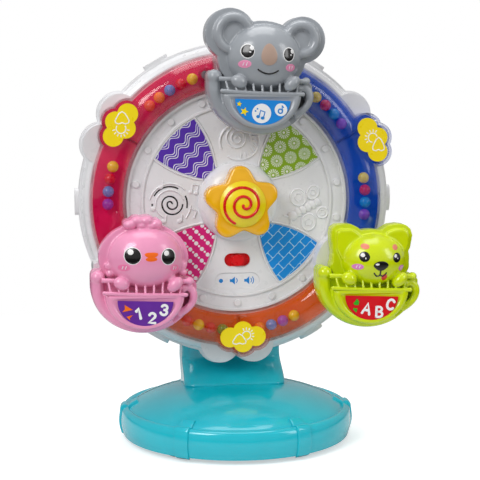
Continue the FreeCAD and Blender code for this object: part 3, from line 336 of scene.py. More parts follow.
YELLOW, RED, SKY, VIOLET = paint(255, 222, 0), paint(228, 12, 22), paint(20, 150, 225), paint(150, 70, 200)
ORANGE, VERMILION, LEAF = paint(255, 140, 20), paint(245, 95, 30), paint(60, 170, 50)
BEAD_ROWS = {
    "pink_low": (-60, -1, 13.8, (YELLOW, RED, SKY, VIOLET)),
    "pink_high": (-60, 1, 17.3, (VERMILION, ORANGE, SKY, RED, YELLOW)),
    "blue_high": (60, -1, 6.4, (VIOLET, SKY, RED, YELLOW)),
    "blue_low": (60, 1, 20.0, (YELLOW, RED, SKY, VIOLET)),
    "orange_right": (180, -1, 9.5, (ORANGE, SKY, VIOLET, YELLOW)),
    "orange_left": (180, 1, 7.2, (LEAF, RED, YELLOW, RED)),
}


def dress(names, material):
    for name in names:
        slots = cad[name].data.materials
        if slots:
            slots[0] = material
        else:
            slots.append(material)


STEEL_NODES = (
    "axle",
    "axle_washer",
    "stand_screws",
    "wheel_screws",
    "battery_contacts",
    "star_spring",
    "carriage_pins",
    "pin_caps",
)


def dress_solids():
    dress(["base_cover", "column_front_shell", "column_rear_shell"], TURQUOISE)
    dress(["base_plate"], moulded("underside_turquoise", paint(12, 150, 165), 0.45))
    dress(["base_feet"], moulded("foot_rubber", paint(45, 45, 48), 0.75, coat=0.0, grain=0.25))
    dress(["wheel_front_shell", "wheel_rear_shell", "hub_dome", "battery_door", "battery_box"], WHITE)
    dress(STEEL_NODES, metal("zinc_steel", paint(190, 192, 196), 0.3))
    dress(["koala_ballast", "chick_ballast", "dog_ballast"], metal("plain_steel", paint(120, 120, 124), 0.5))
    dress(["wheel_bush", "slide_switch", "star_retainer"], moulded("bearing_plastic", paint(60, 60, 64), 0.5))
    dress(["circuit_board"], moulded("board_lacquer", paint(20, 95, 50), 0.35))
    dress(["loudspeaker"], moulded("speaker_cone", paint(38, 36, 38), 0.6, coat=0.0))
    dress(["batteries"], moulded("cell_wrap", paint(40, 90, 60), 0.35))
    dress(["track_cover_pink"], clear("clear_pink", paint(235, 10, 90), 0.13))
    dress(["track_cover_blue"], clear("clear_blue", paint(0, 85, 215), 0.13))
    dress(["track_cover_orange"], clear("clear_orange", paint(245, 95, 0), 0.13))
    dress(["track_tray_pink"], moulded("tray_pink", paint(232, 12, 88), 0.3))
    dress(["track_tray_blue"], moulded("tray_blue", paint(0, 84, 208), 0.3))
    dress(["track_tray_orange"], moulded("tray_orange", paint(240, 100, 8), 0.3))
    dress(["texture_panel_purple"], purple_panel())
    dress(["texture_panel_green"], green_panel())
    dress(["texture_panel_blue"], blue_panel())
    dress(["texture_panel_pink"], pink_panel())
    dress(["weather_labels"], moulded("label_yellow", paint(255, 226, 0), 0.3))
    dress(["star_disc"], moulded("disc_yellow", paint(255, 228, 20), 0.22))
    dress(["switch_knob"], moulded("switch_red", paint(232, 14, 24), 0.28, edge=0.5))
    for animal, ink in LABEL_INK.items():
        dress([animal + "_label"], ink)
    for row, (centre, side, start, colours) in BEAD_ROWS.items():
        dress(["beads_" + row], bead_finish("bead_row_" + row, centre, side, start, colours))


# Modelling

FACING_OUT = (bpy.ops.mesh.normals_make_consistent, {"inside": False})


def only(*objects):
    bpy.ops.object.select_all(action="DESELECT")
    for o in objects:
        o.select_set(True)
    bpy.context.view_layer.objects.active = objects[0]


def settle(o):
    """The object's place and size go into its mesh."""
    only(o)
    bpy.ops.object.transform_apply(location=True, rotation=True, scale=True)
    return o


def modify(o, kind, **settings):
    only(o)
    modifier = o.modifiers.new(kind.lower(), kind)
    for key, value in settings.items():
        setattr(modifier, key, value)
    bpy.ops.object.modifier_apply(modifier=modifier.name)
    return o


def edit(o, *steps):
    """Edit-mode steps, each on the whole mesh."""
    only(o)
    bpy.ops.object.mode_set(mode="EDIT")
    for step, settings in steps:
        bpy.ops.mesh.select_all(action="SELECT")
        step(**settings)
    bpy.ops.object.mode_set(mode="OBJECT")
    return o


def join(name, pieces):
    only(*pieces)
    if len(pieces) > 1:
        bpy.ops.object.join()
    joined = bpy.context.object
    joined.name = name
    return joined


def ball(x, y, z, rx, ry, rz, turn=0.0, segments=32, rings=20):
    place = (x * MM, y * MM, z * MM)
    bpy.ops.mesh.primitive_uv_sphere_add(segments=segments, ring_count=rings, radius=1, location=place)
    o = bpy.context.object
    o.scale = (rx * MM, ry * MM, rz * MM)
    o.rotation_euler = Euler((0, math.radians(turn), 0))
    return settle(o)


def puck(x, z, rx, rz, y0, y1, vertices=64):
    """An elliptical disc between two depths."""
    place = (x * MM, (y0 + y1) / 2 * MM, z * MM)
    bpy.ops.mesh.primitive_cylinder_add(vertices=vertices, radius=1, depth=1, location=place)
    o = bpy.context.object
    o.scale = (rx * MM, rz * MM, abs(y1 - y0) * MM)
    o.rotation_euler = (math.pi / 2, 0, 0)
    return settle(o)


def bar(start, end, r, vertices=16):
    a, b = Vector(start) * MM, Vector(end) * MM
    length = (b - a).length
    bpy.ops.mesh.primitive_cylinder_add(vertices=vertices, radius=r * MM, depth=length, location=(a + b) / 2)
    o = bpy.context.object
    o.rotation_euler = (b - a).to_track_quat("Z", "Y").to_euler()
    return settle(o)


def cutout(points, y0, y1):
    """A flat shape with the given corners (right, up), made solid between two depths."""
    bpy.ops.mesh.primitive_circle_add(vertices=len(points), radius=1, fill_type="NGON")
    o = bpy.context.object
    for vertex, (x, z) in zip(o.data.vertices, points):
        vertex.co = (x * MM, y0 * MM, z * MM)
    pull = {"TRANSFORM_OT_translate": {"value": (0, (y1 - y0) * MM, 0)}}
    return edit(o, (bpy.ops.mesh.extrude_region_move, pull), FACING_OUT)


def line(points, r, closed=False):
    """A round cord through points (right, depth, up), drawn as a curve and made a mesh."""
    bpy.ops.curve.primitive_nurbs_path_add()
    o = bpy.context.object
    curve = o.data
    curve.splines.clear()
    spline = curve.splines.new("POLY")
    spline.points.add(len(points) - 1)
    for p, (x, y, z) in zip(spline.points, points):
        p.co = (x * MM, y * MM, z * MM, 1)
    spline.use_cyclic_u = closed
    curve.bevel_depth = r * MM
    curve.bevel_resolution = 3
    curve.use_fill_caps = True
    only(o)
    bpy.ops.object.convert(target="MESH")
    return settle(bpy.context.object)


def stroke(points, r, y, depth):
    """A flat printed or raised line with round ends on the plane at a depth."""
    pieces = [line([(x, 0, z) for x, z in points], r)]
    pieces += [ball(x, 0, z, r, r, r, segments=12, rings=8) for x, z in (points[0], points[-1])]
    o = join("stroke", pieces)
    for v in o.data.vertices:
        v.co.y = v.co.y * depth / r + y * MM
    return o


def arc(x, z, r, start, end, steps=24, squash=1.0):
    """Points on a circle, with angles clockwise from the top."""
    found = []
    for k in range(steps + 1):
        a = math.radians(start + (end - start) * k / steps)
        found.append((x + r * math.sin(a), z + r * squash * math.cos(a)))
    return found


def fuse(name, pieces, voxel=0.6, rounds=6):
    """Several solids run into one, with their edges and joins softened as in a mould."""
    o = join(name, pieces)
    modify(o, "REMESH", mode="VOXEL", voxel_size=voxel * MM)
    modify(o, "SMOOTH", factor=0.6, iterations=rounds)
    only(o)
    bpy.ops.object.shade_smooth()
    return o


def finish(o, name, material, body, slot, replaces=()):
    o.name = name
    o.data.name = name
    o.data.materials.clear()
    o.data.materials.append(material)
    only(o)
    bpy.ops.object.shade_smooth_by_angle(angle=math.radians(40))
    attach(o, body)
    if replaces:
        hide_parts(*replaces)
    bpy.ops.object.select_all(action="DESELECT")


# Carriages


def half_ellipse(x, top, half_w, drop, steps=40):
    """A half-round outline that hangs from its top edge, from its right end to its left."""
    angles = [math.pi * k / steps for k in range(steps + 1)]
    return [(x + half_w * math.cos(a), top - drop * math.sin(a)) for a in angles]


def moved(points, pin):
    return [(x + pin[0], z + pin[1]) for x, z in points]


KOALA_EARS = ((-8.2, 23.1, 15.6), (37.0, 19.4, 14.3))
LEFT_EAR = ((-13.2, 20.0), (-12.6, 24.2), (-9.6, 26.4), (-5.4, 26.8), (-0.6, 26.6), (3.4, 24.6), (7.0, 21.0))
RIGHT_EAR = ((38.6, 19.6), (37.4, 23.4), (34.4, 25.8), (30.0, 26.4), (25.0, 25.8), (20.4, 23.4), (17.5, 19.5))
DOG_EARS = (
    LEFT_EAR + ((8.0, 6.0), (-8.0, 3.0), (-12.2, 10.0)),
    RIGHT_EAR + ((17.5, 8.0), (33.0, 4.0), (37.4, 12.0)),
)
CREST = (
    (1.6, 29.2, 4.2, 2.9),
    (6.2, 31.6, 4.2, 3.0),
    (12.2, 31.6, 4.8, 3.0),
    (18.0, 29.4, 3.8, 3.2),
    (8.6, 28.6, 3.2, 2.2),
    (14.6, 28.2, 3.6, 2.2),
)
TUFTS = ((-10.8, 3.9, 2.8), (-10.4, -0.8, 2.4), (33.9, 3.9, 2.6), (34.0, -0.7, 2.4))
EAR_RINGS = ((-6.2, 22.9, 12.7), (35.9, 19.4, 11.6))


def grown(points, amount):
    """An outline drawn in or out from its middle by about an amount."""
    cx = sum(p[0] for p in points) / len(points)
    cz = sum(p[1] for p in points) / len(points)
    found = []
    for x, z in points:
        d = math.hypot(x - cx, z - cz)
        k = (d + amount) / d
        found.append((cx + (x - cx) * k, cz + (z - cz) * k))
    return found


def head_back(animal, y0, y1):
    """The flat outline behind a head, with its ears or crest."""
    px, pz = PIN[animal]
    x, z, half_w, half_h = HEAD[animal]
    pieces = [puck(px + x - 1, pz + z, half_w + 4.6, half_h + 2.2, y0, y1, 96)]
    if animal == "koala":
        pieces += [puck(px + ex, pz + ez, er, er, y0, y1, 80) for ex, ez, er in KOALA_EARS]
    elif animal == "dog":
        pieces += [cutout(moved(grown(ear, 0.6), PIN[animal]), y0, y1) for ear in DOG_EARS]
        pieces += [puck(px - 7.2, pz + 0.2, 6.4, 6.4, y0, y1), puck(px + 31.2, pz + 0.4, 6.2, 6.2, y0, y1)]
    else:
        pieces += [puck(px + ex, pz + ez, ew, eh, y0, y1) for ex, ez, ew, eh in CREST[:4]]
    return pieces


def cup_outline():
    """The cup's outline: a half-round bowl with a tall left corner and a low right one."""
    right = [(CUP_X + 20.0, -4.0), (CUP_X + 26.5, -4.4), (CUP_X + 31.0, -6.2)]
    left = [(CUP_X - 33.0, -1.8), (CUP_X - 31.4, 0.9), (CUP_X - 26.6, 0.9), (CUP_X - 24.6, -4.0)]
    return right + half_ellipse(CUP_X, -9.0, 33.0, 29.8) + left


def cup_slab(animal, y0, y1):
    return cutout(moved(cup_outline(), PIN[animal]), y0, y1)


def handle_hole(animal, back):
    """A cutter for the opening between the cup and its handle, leaning outwards."""
    px, pz = PIN[animal]
    x, z = px + 35.4, pz - 17.6
    hole = puck(x, z, 3.1, 5.9, CUP_Y - 4.0, back, 48)
    only(hole)
    middle = (x * MM, 0, z * MM)
    bpy.ops.transform.rotate(value=math.radians(16), orient_axis="Y", center_override=middle)
    return hole


def hollowed(o, cutter):
    modify(o, "BOOLEAN", operation="DIFFERENCE", solver="EXACT", object=cutter)
    bpy.data.objects.remove(cutter)
    return o


def carriage_shell(animal):
    """The rear half: head and cup outline in one, with softened edges."""
    pieces = head_back(animal, CARRIAGE_BACK, LID_Y + 0.3) + [cup_slab(animal, CARRIAGE_BACK, LID_Y + 0.3)]
    shell = fuse(animal + "_shell", pieces, 0.7, 8)
    return hollowed(shell, handle_hole(animal, LID_Y + 7.0))


def dome_y(animal, x, z, lift=0.0):
    """Depth of the head's dome at a point of the front view."""
    px, pz = PIN[animal]
    cx, cz, half_w, half_h = HEAD[animal]
    s = 1 - ((x - px - cx) / half_w) ** 2 - ((z - pz - cz) / half_h) ** 2
    return CUP_Y - (HEAD_H - 0.15) * math.sqrt(max(s, 0.0)) - lift


def carriage_head(animal):
    """The head's dome on its flat outline, with ears or crest, and the paws on the rail."""
    px, pz = PIN[animal]
    x, z, half_w, half_h = HEAD[animal]
    plate = head_back(animal, LID_Y - 0.2, CUP_Y)
    if animal == "koala":
        for ex, ez, er in EAR_RINGS:
            plate.append(puck(px + ex, pz + ez, er - 4.4, er - 4.4, CUP_Y, CUP_Y - 1.2))
            bpy.ops.mesh.primitive_torus_add(
                major_radius=(er - 2.7) * MM,
                minor_radius=2.9 * MM,
                major_segments=64,
                minor_segments=20,
                location=((px + ex) * MM, (CUP_Y - 1.6) * MM, (pz + ez) * MM),
                rotation=(math.pi / 2, 0, 0),
            )
            plate.append(settle(bpy.context.object))
            plate.append(puck(px + ex, pz + ez, er - 0.4, er - 0.4, CUP_Y + 0.5, CUP_Y - 1.2))
    elif animal == "dog":
        for ear in DOG_EARS:
            plate.append(cutout(moved(grown(ear, -2.6), PIN[animal]), CUP_Y + 0.5, CUP_Y - 3.6))
    else:
        for ex, ez, ew, eh in CREST:
            plate.append(ball(px + ex, CUP_Y - 1.5, pz + ez, ew, 4.2, eh))
        for ex, ez, er in TUFTS:
            plate.append(ball(px + ex, CUP_Y - 2.0, pz + ez, er + 0.6, 2.4, er))
    dome = ball(px + x, CUP_Y, pz + z, half_w, HEAD_H, half_h, segments=64, rings=40)
    front_half = {"plane_co": (0, (CUP_Y + 0.5) * MM, 0), "plane_no": (0, 1, 0), "use_fill": True}
    edit(dome, (bpy.ops.mesh.bisect, front_half | {"clear_outer": True}))
    paws = [
        ball(px - 4.2, CUP_Y - 9.0, pz - 6.0, 5.2, 4.2, 4.1, turn=22),
        ball(px + 28.6, CUP_Y - 9.0, pz - 7.4, 5.8, 4.2, 3.8, turn=-42),
        bar((px - 4.0, CUP_Y - 8.0, pz - 5.4), (px + 2.0, CUP_Y - 2.5, pz + 0.5), 3.0),
        bar((px + 28.4, CUP_Y - 8.0, pz - 6.4), (px + 24.0, CUP_Y - 2.5, pz - 0.5), 3.0),
    ]
    return fuse(animal + "_head_shape", plate + [dome] + paws, 0.55, 4)


HANDLE_LOOP = (
    (34.0, -10.4),
    (37.4, -9.8),
    (40.2, -11.6),
    (41.2, -15.2),
    (40.4, -19.2),
    (37.6, -22.9),
    (33.4, -25.8),
    (29.6, -28.0),
)
RAIL_HALF = 25.0


def eased(corners, rounds=3):
    """A path through corners, with points added between them and its bends rounded."""
    path = []
    for (x0, z0), (x1, z1) in zip(corners, corners[1:]):
        path += [(x0 + (x1 - x0) * t, z0 + (z1 - z0) * t) for t in (0.0, 0.34, 0.67)]
    for _ in range(rounds):
        threes = list(zip(path, path[1:], path[2:]))
        middles = [((a[0] + b[0] + c[0]) / 3, (a[1] + b[1] + c[1]) / 3) for a, b, c in threes]
        path = [path[0]] + middles + [path[-1]]
    return path


def rail_up(x):
    """Height of the front rail over the pin, a little lower to the right."""
    across = (x - CUP_X) / RAIL_HALF
    return -11.7 - 2.2 * (across + 1) / 2 - 0.5 * (1 - across**2)


def cup_bowl(animal):
    """Lid, rolled outer rim, bowl with its lip, and the handle with its opening."""
    pin = px, pz = PIN[animal]
    left = px + CUP_X - 28.6
    rim = [(left, CUP_Y - 1.2, pz - 2.5)]
    for k in range(29):
        a = math.pi * k / 40
        rim.append((px + CUP_X - 28.6 * math.cos(a), CUP_Y - 0.9, pz - 9.0 - 25.6 * math.sin(a)))
    lip = [(px + x, BOWL_Y + 2.2, pz + z) for x, z in half_ellipse(CUP_X, -14.6, 21.2, 18.6)]
    pieces = [
        cup_slab(animal, LID_Y - 0.2, CUP_Y),
        line(rim, 4.1),
        ball(left, CUP_Y - 1.4, pz - 3.0, 4.7, 4.9, 4.4),
        cutout(moved(half_ellipse(CUP_X, -13.4, 24.2, 21.6), pin), CUP_Y + 0.5, BOWL_Y + 1.4),
        line(lip, 2.1, closed=True),
        line([(px + x, CUP_Y - 3.4, pz + z) for x, z in eased(HANDLE_LOOP)], 2.5),
        ball(px + 33.6, CUP_Y - 4.0, pz - 10.6, 2.9, 3.6, 2.9),
        ball(px + 38.2, CUP_Y - 4.2, pz - 6.0, 2.7, 4.0, 2.5),
    ]
    body = fuse(animal + "_cup_body", pieces, 0.55, 5)
    return hollowed(body, handle_hole(animal, LID_Y + 4.0))


def cup_rails(animal):
    """Front and rear rails, their end knobs, and the nine spindles that fan out between them."""
    px, pz = PIN[animal]
    xs = [CUP_X + RAIL_HALF * k / 8 for k in range(-8, 9)]
    low = [(px + x, BOWL_Y + 1.2, pz + rail_up(x)) for x in xs]
    rods = [
        line(low, 1.25),
        bar((px + CUP_X - 26.5, CUP_Y - 6.0, pz - 4.4), (px - 4.0, CUP_Y - 6.8, pz - 4.9), 1.5),
        bar((px + 30.0, CUP_Y - 6.8, pz - 5.8), (px + 38.0, CUP_Y - 6.0, pz - 6.0), 1.5),
    ]
    rods += [ball(*end, 1.3, 1.3, 1.3, segments=16, rings=10) for end in (low[0], low[-1])]
    for k in range(9):
        x = CUP_X - 21.0 + 42.0 * k / 8
        lean = 1.4 * (4 - k) / 4
        foot = (px + x, BOWL_Y + 1.4, pz + rail_up(x))
        rods.append(bar(foot, (px + x - lean, CUP_Y - 6.4, pz - 5.0), 0.8, 10))
    return rods


def carriage_cup(animal):
    return join(animal + "_cup_shape", [cup_bowl(animal)] + cup_rails(animal))


def label_plate(animal):
    """The half-round label, a little askew as on the real cup."""
    outline = []
    lean = math.radians(2.6)
    c, s = math.cos(lean), math.sin(lean)
    for x, z in half_ellipse(CUP_X, 0.0, 17.1, 15.2):
        outline.append((CUP_X + (x - CUP_X) * c + z * s, -17.2 + z * c - (x - CUP_X) * s))
    return cutout(moved(outline, PIN[animal]), -42.0, LABEL_Y + 0.1)


def spot(animal, u, w, ru, rw, lift, turn=0.0):
    """A printed mark that lies on the head's dome."""
    px, pz = PIN[animal]
    o = ball(px + u, 0, pz + w, ru, 0.16, rw, turn=turn, segments=28, rings=14)
    for v in o.data.vertices:
        v.co.y += dome_y(animal, v.co.x / MM, v.co.z / MM, lift) * MM
    return o


def spots(animal, places, lift):
    """Printed marks in a row: place, half width and half height of each."""
    return [spot(animal, *place, lift) for place in places]


def drawn_on(animal, points, r, lift=0.1):
    """A printed line that follows the head's dome."""
    px, pz = PIN[animal]
    path = [(px + u, dome_y(animal, px + u, pz + w, lift), pz + w) for u, w in points]
    o = line(path, r)
    ends = [ball(*path[0], r, r, r, segments=12, rings=8), ball(*path[-1], r, r, r, segments=12, rings=8)]
    return join("drawn", [o] + ends)


def between(a, b, sag, steps=16):
    """Points on a line from a to b that sags by an amount."""
    found = []
    for k in range(steps + 1):
        t = k / steps
        found.append((a[0] + (b[0] - a[0]) * t, a[1] + (b[1] - a[1]) * t - sag * 4 * t * (1 - t)))
    return found


def marks(animal, name, pieces, material, slot):
    """Printed pieces that ride on a carriage, joined under one name."""
    finish(join(name, pieces), name, material, animal + "_carriage", slot)


def cheeks(animal, places, colour):
    marks(animal, animal + "_cheeks", spots(animal, places, 0.1), colour, "rosy")
    ticks = []
    for u, w, ru, rw in places:
        for side in (-0.28, 0.22):
            tick = [(u + side * ru, w - 0.35 * rw), (u + (side + 0.14) * ru, w + 0.4 * rw)]
            ticks.append(drawn_on(animal, tick, 0.24, 0.25))
    marks(animal, animal + "_cheek_ticks", ticks, INK_WHITE, "white")


def eyes(animal, whites, pupils, glints):
    """Black eyes with white glints, on white rings where the animal has them."""
    if whites:
        marks(animal, animal + "_eye_whites", spots(animal, whites, 0.08), INK_WHITE, "white")
    marks(animal, animal + "_pupils", spots(animal, pupils, 0.22 if whites else 0.15), INK_BLACK, "black")
    shine = spots(animal, glints, 0.4 if whites else 0.35)
    marks(animal, animal + "_eye_glints", shine, INK_WHITE, "white")


def koala_face():
    a = "koala"
    px, pz = PIN[a]
    eyes(
        a,
        ((0.4, 12.1, 4.2, 4.5), (25.8, 10.1, 3.9, 4.5)),
        ((0.4, 12.1, 3.7, 3.9), (25.8, 10.1, 3.3, 3.9)),
        ((2.9, 14.0, 1.3, 1.4), (1.8, 11.6, 0.55, 0.5), (28.1, 12.0, 1.1, 1.3), (27.2, 9.8, 0.5, 0.5)),
    )
    nose_u, nose_w, half_w, half_h = 13.3, 10.1, 4.9, 6.6
    nose = spot(a, nose_u, nose_w, half_w, half_h, 0.2)
    middle = (px + nose_u) * MM
    for v in nose.data.vertices:
        high = (v.co.z / MM - pz - nose_w) / half_h
        v.co.x = middle + (v.co.x - middle) * (1.0 - 0.2 * high)
    marks(a, "koala_nose", [nose], moulded("nose_beige", paint(186, 158, 142), 0.4), "grey")
    cheeks(a, ((-1.2, 4.4, 3.8, 2.4), (27.1, 2.2, 3.2, 2.3)), CHEEK_PINK)
    smile = drawn_on(a, between((6.7, 1.1), (19.0, 0.3), 2.2), 0.5)
    marks(a, "koala_smile", [smile], INK_BLACK, "black")


def chick_face():
    a = "chick"
    px, pz = PIN[a]
    eyes(
        a,
        ((2.4, 11.4, 5.4, 5.4), (24.2, 10.4, 4.7, 5.2)),
        ((2.4, 11.4, 4.9, 4.9), (24.2, 10.4, 4.2, 4.7)),
        ((1.1, 13.8, 1.8, 1.7), (23.0, 12.7, 1.6, 1.6)),
    )
    beak_u, half_w = 13.7, 4.2
    upper = spot(a, beak_u, 12.0, half_w, 1.7, 0.15)
    for v in upper.data.vertices:
        side = (v.co.x / MM - px - beak_u) / half_w
        v.co.z += 0.5 * MM * (side * side - 0.4)
    lower = spot(a, beak_u, 9.3, 3.6, 1.4, 0.15)
    marks(a, "chick_beak", [upper, lower], moulded("beak_orange", paint(255, 110, 0), 0.35), "clear_orange")
    cheeks(a, ((-2.8, 4.0, 3.7, 2.2), (28.2, 3.0, 2.9, 2.2)), CHEEK_ROSE)


def dog_face():
    a = "dog"
    px, pz = PIN[a]
    eyes(
        a,
        (),
        ((4.4, 8.2, 3.2, 3.2), (25.5, 7.1, 2.8, 3.1)),
        ((3.4, 9.2, 1.3, 1.2), (5.0, 7.3, 0.4, 0.6), (24.6, 8.2, 1.0, 1.1), (26.1, 6.6, 0.4, 0.5)),
    )
    brows = spots(a, ((5.3, 14.4, 2.6, 1.7), (24.9, 13.4, 2.0, 1.7)), 0.1)
    marks(a, "dog_brows", brows, moulded("brow_salmon", paint(242, 140, 110), 0.4), "rosy")
    nose_u, nose_w, half_w, half_h = 14.6, 2.6, 4.9, 2.9
    nose = spot(a, nose_u, nose_w, half_w, half_h, 0.4)
    middle = (px + nose_u) * MM
    for v in nose.data.vertices:
        low = (v.co.z / MM - pz - nose_w) / half_h
        if low < 0:
            v.co.x = middle + (v.co.x - middle) * (1.0 + 0.25 * low)
            v.co.z -= 0.4 * MM * (1 - abs(v.co.x / MM - px - nose_u) / half_w)
    marks(a, "dog_nose", [nose], INK_BLACK, "black")
    marks(a, "dog_nose_glint", [spot(a, 12.1, 3.5, 1.3, 0.65, 0.75)], INK_WHITE, "white")
    mouth = [drawn_on(a, between((10.6, -2.2), (14.5, -3.2), 1.5), 0.48)]
    mouth.append(drawn_on(a, between((14.5, -3.2), (18.4, -2.2), 1.5), 0.48))
    mouth.append(drawn_on(a, [(14.5, -0.2), (14.5, -3.4)], 0.48))
    marks(a, "dog_mouth", mouth, INK_BLACK, "black")
    tongue = spot(a, 17.6, -5.2, 1.9, 2.3, 0.1, turn=-8)
    marks(a, "dog_tongue", [tongue], moulded("tongue_red", paint(228, 20, 25), 0.3), "red")
    mauve = moulded("cheek_mauve", paint(228, 130, 205), 0.4)
    cheeks(a, ((0.6, 1.8, 3.4, 1.9), (29.6, 0.0, 2.4, 2.0)), mauve)


def glyph(animal, paths, x, z, size, turn=0.0, r=1.0, y=LABEL_Y):
    """A plain figure or letter, drawn as round-ended strokes in a box one unit high."""
    px, pz = PIN[animal]
    c, s = math.cos(math.radians(turn)), math.sin(math.radians(turn))
    pieces = []
    for path in paths:
        points = [(px + x + size * (a * c + b * s), pz + z + size * (b * c - a * s)) for a, b in path]
        pieces.append(stroke([(u, v + LABEL_UP) for u, v in points], r, y, 0.14))
    return pieces


def bowl_of(cx, cz, rx, rz, start, end, steps=14):
    """The round stroke of a letter or figure, with angles clockwise from the top."""
    angles = [math.radians(start + (end - start) * k / steps) for k in range(steps + 1)]
    return [(cx + rx * math.sin(a), cz + rz * math.cos(a)) for a in angles]


ONE = (((-0.2, 0.28), (0.06, 0.5), (0.06, -0.5)),)
TWO = (bowl_of(0.0, 0.22, 0.3, 0.28, -75, 130) + [(-0.3, -0.5), (0.34, -0.5)],)
THREE = (bowl_of(0.0, 0.25, 0.28, 0.25, -70, 180) + bowl_of(0.0, -0.24, 0.32, 0.27, 0, 250),)
LETTER_A = (((-0.36, -0.5), (0.0, 0.5), (0.36, -0.5)), ((-0.2, -0.16), (0.2, -0.16)))
LETTER_B = (
    ((-0.28, -0.5), (-0.28, 0.5)),
    [(-0.28, 0.5)] + bowl_of(-0.02, 0.26, 0.27, 0.24, 0, 180) + [(-0.28, 0.02)],
    [(-0.28, 0.02)] + bowl_of(0.0, -0.24, 0.32, 0.26, 0, 180) + [(-0.28, -0.5)],
)
LETTER_C = (bowl_of(0.06, 0.0, 0.38, 0.5, 48, -228, 20),)


def star_points(x, z, r, turn=0.0, waist=0.45):
    found = []
    for k in range(10):
        a = math.radians(turn + 36 * k)
        q = r if k % 2 == 0 else r * waist
        found.append((x + q * math.sin(a), z + q * math.cos(a)))
    return found


def flat_shapes(animal, outlines, thick=0.12):
    pin = (PIN[animal][0], PIN[animal][1] + LABEL_UP)
    return [cutout(moved(o, pin), LABEL_Y + 0.05, LABEL_Y - thick) for o in outlines]


def koala_print():
    """Two white discs with music notes, and two stars."""
    a = "koala"
    px, pz = PIN[a][0], PIN[a][1] + LABEL_UP
    discs = [arc(9.4, -26.4, 5.9, 0, 360, 40), arc(21.4, -24.2, 3.9, 0, 360, 32)]
    marks(a, "koala_label_discs", flat_shapes(a, discs, 0.1), INK_WHITE, "white")
    stars = [star_points(-4.4, -20.6, 1.7, 8), star_points(-1.3, -25.2, 2.7, 20)]
    marks(a, "koala_label_stars", flat_shapes(a, stars), INK_YELLOW, "yellow")
    beam = ((-0.2, -0.42), (0.0, 0.3), (0.5, 0.12), (0.3, -0.56))
    note = glyph(a, (beam,), 8.8, -26.2, 5.4, 0, 0.42, LABEL_Y - 0.15)
    heads = ((7.2, -28.3), (10.0, -29.2))
    dots = ((6.8, -23.6), (5.6, -24.9))
    note += [puck(px + x, pz + z, 1.15, 0.95, LABEL_Y - 0.1, LABEL_Y - 0.3, 24) for x, z in heads]
    note += [puck(px + x, pz + z, 0.5, 0.5, LABEL_Y - 0.1, LABEL_Y - 0.3, 16) for x, z in dots]
    single = (bowl_of(0.0, -0.18, 0.26, 0.26, 0, 360), ((0.26, -0.1), (0.2, 0.5), (0.36, 0.3)))
    note += glyph(a, single, 21.0, -24.2, 5.0, 0, 0.45, LABEL_Y - 0.15)
    marks(a, "koala_label_notes", note, INK_BLUE, "label_blue")


def chick_print():
    """The figures 1 2 3 and two orange darts."""
    a = "chick"
    figures = glyph(a, ONE, 6.2, -25.6, 6.2, -12, 0.95)
    figures += glyph(a, TWO, 14.2, -28.6, 6.0, 6, 0.85)
    figures += glyph(a, THREE, 21.6, -23.8, 6.0, 10, 0.85)
    marks(a, "chick_label_figures", figures, INK_WHITE, "white")
    darts = [
        [(-2.6, -20.0), (2.4, -23.2), (-4.0, -24.4), (-2.4, -22.6)],
        [(2.4, -26.4), (-1.6, -27.4), (0.6, -29.6), (0.6, -28.2)],
    ]
    orange = moulded("ink_orange", paint(255, 120, 0), 0.4)
    marks(a, "chick_label_darts", flat_shapes(a, darts), orange, "clear_orange")


def dog_print():
    """The letters A B C and two green hearts."""
    a = "dog"
    letters = glyph(a, LETTER_A, 7.0, -26.0, 6.6, 14, 0.85)
    letters += glyph(a, LETTER_B, 15.0, -28.4, 6.4, 2, 0.8)
    letters += glyph(a, LETTER_C, 22.2, -23.8, 6.2, 14, 0.85)
    marks(a, "dog_label_letters", letters, INK_WHITE, "white")
    hearts = [
        [(0.6, -19.6), (1.9, -21.4), (1.6, -23.6), (-0.9, -23.6), (-1.8, -22.4), (-0.9, -21.6)],
        [(0.9, -25.6), (0.2, -28.4), (-2.0, -26.2), (-1.4, -25.2), (-0.5, -25.8)],
    ]
    green = moulded("ink_green", paint(50, 180, 20), 0.4)
    marks(a, "dog_label_hearts", flat_shapes(a, hearts), green, "lime")


def build_carriages():
    slots = {
        "koala": (GREY, "grey", "label_blue"),
        "chick": (ROSY, "rosy", "label_purple"),
        "dog": (LIME, "lime", "label_red"),
    }
    for a, (colour, slot, label_slot) in slots.items():
        body = a + "_carriage"
        finish(carriage_shell(a), a + "_shell", colour, body, slot, (a + "_rear_shell",))
        finish(carriage_head(a), a + "_head_moulding", colour, body, slot, (a + "_head",))
        finish(carriage_cup(a), a + "_cup_moulding", colour, body, slot, (a + "_cup",))
        finish(label_plate(a), a + "_label_plate", LABEL_INK[a], body, label_slot, (a + "_label",))
    koala_face()
    chick_face()
    dog_face()
    koala_print()
    chick_print()
    dog_print()


# Star button

STAR_FRONT = -29.6
DISC_EDGE_Y = -30.0
DISC_R = 14.5
DISC_H = 5.0
COIL_R = 0.95


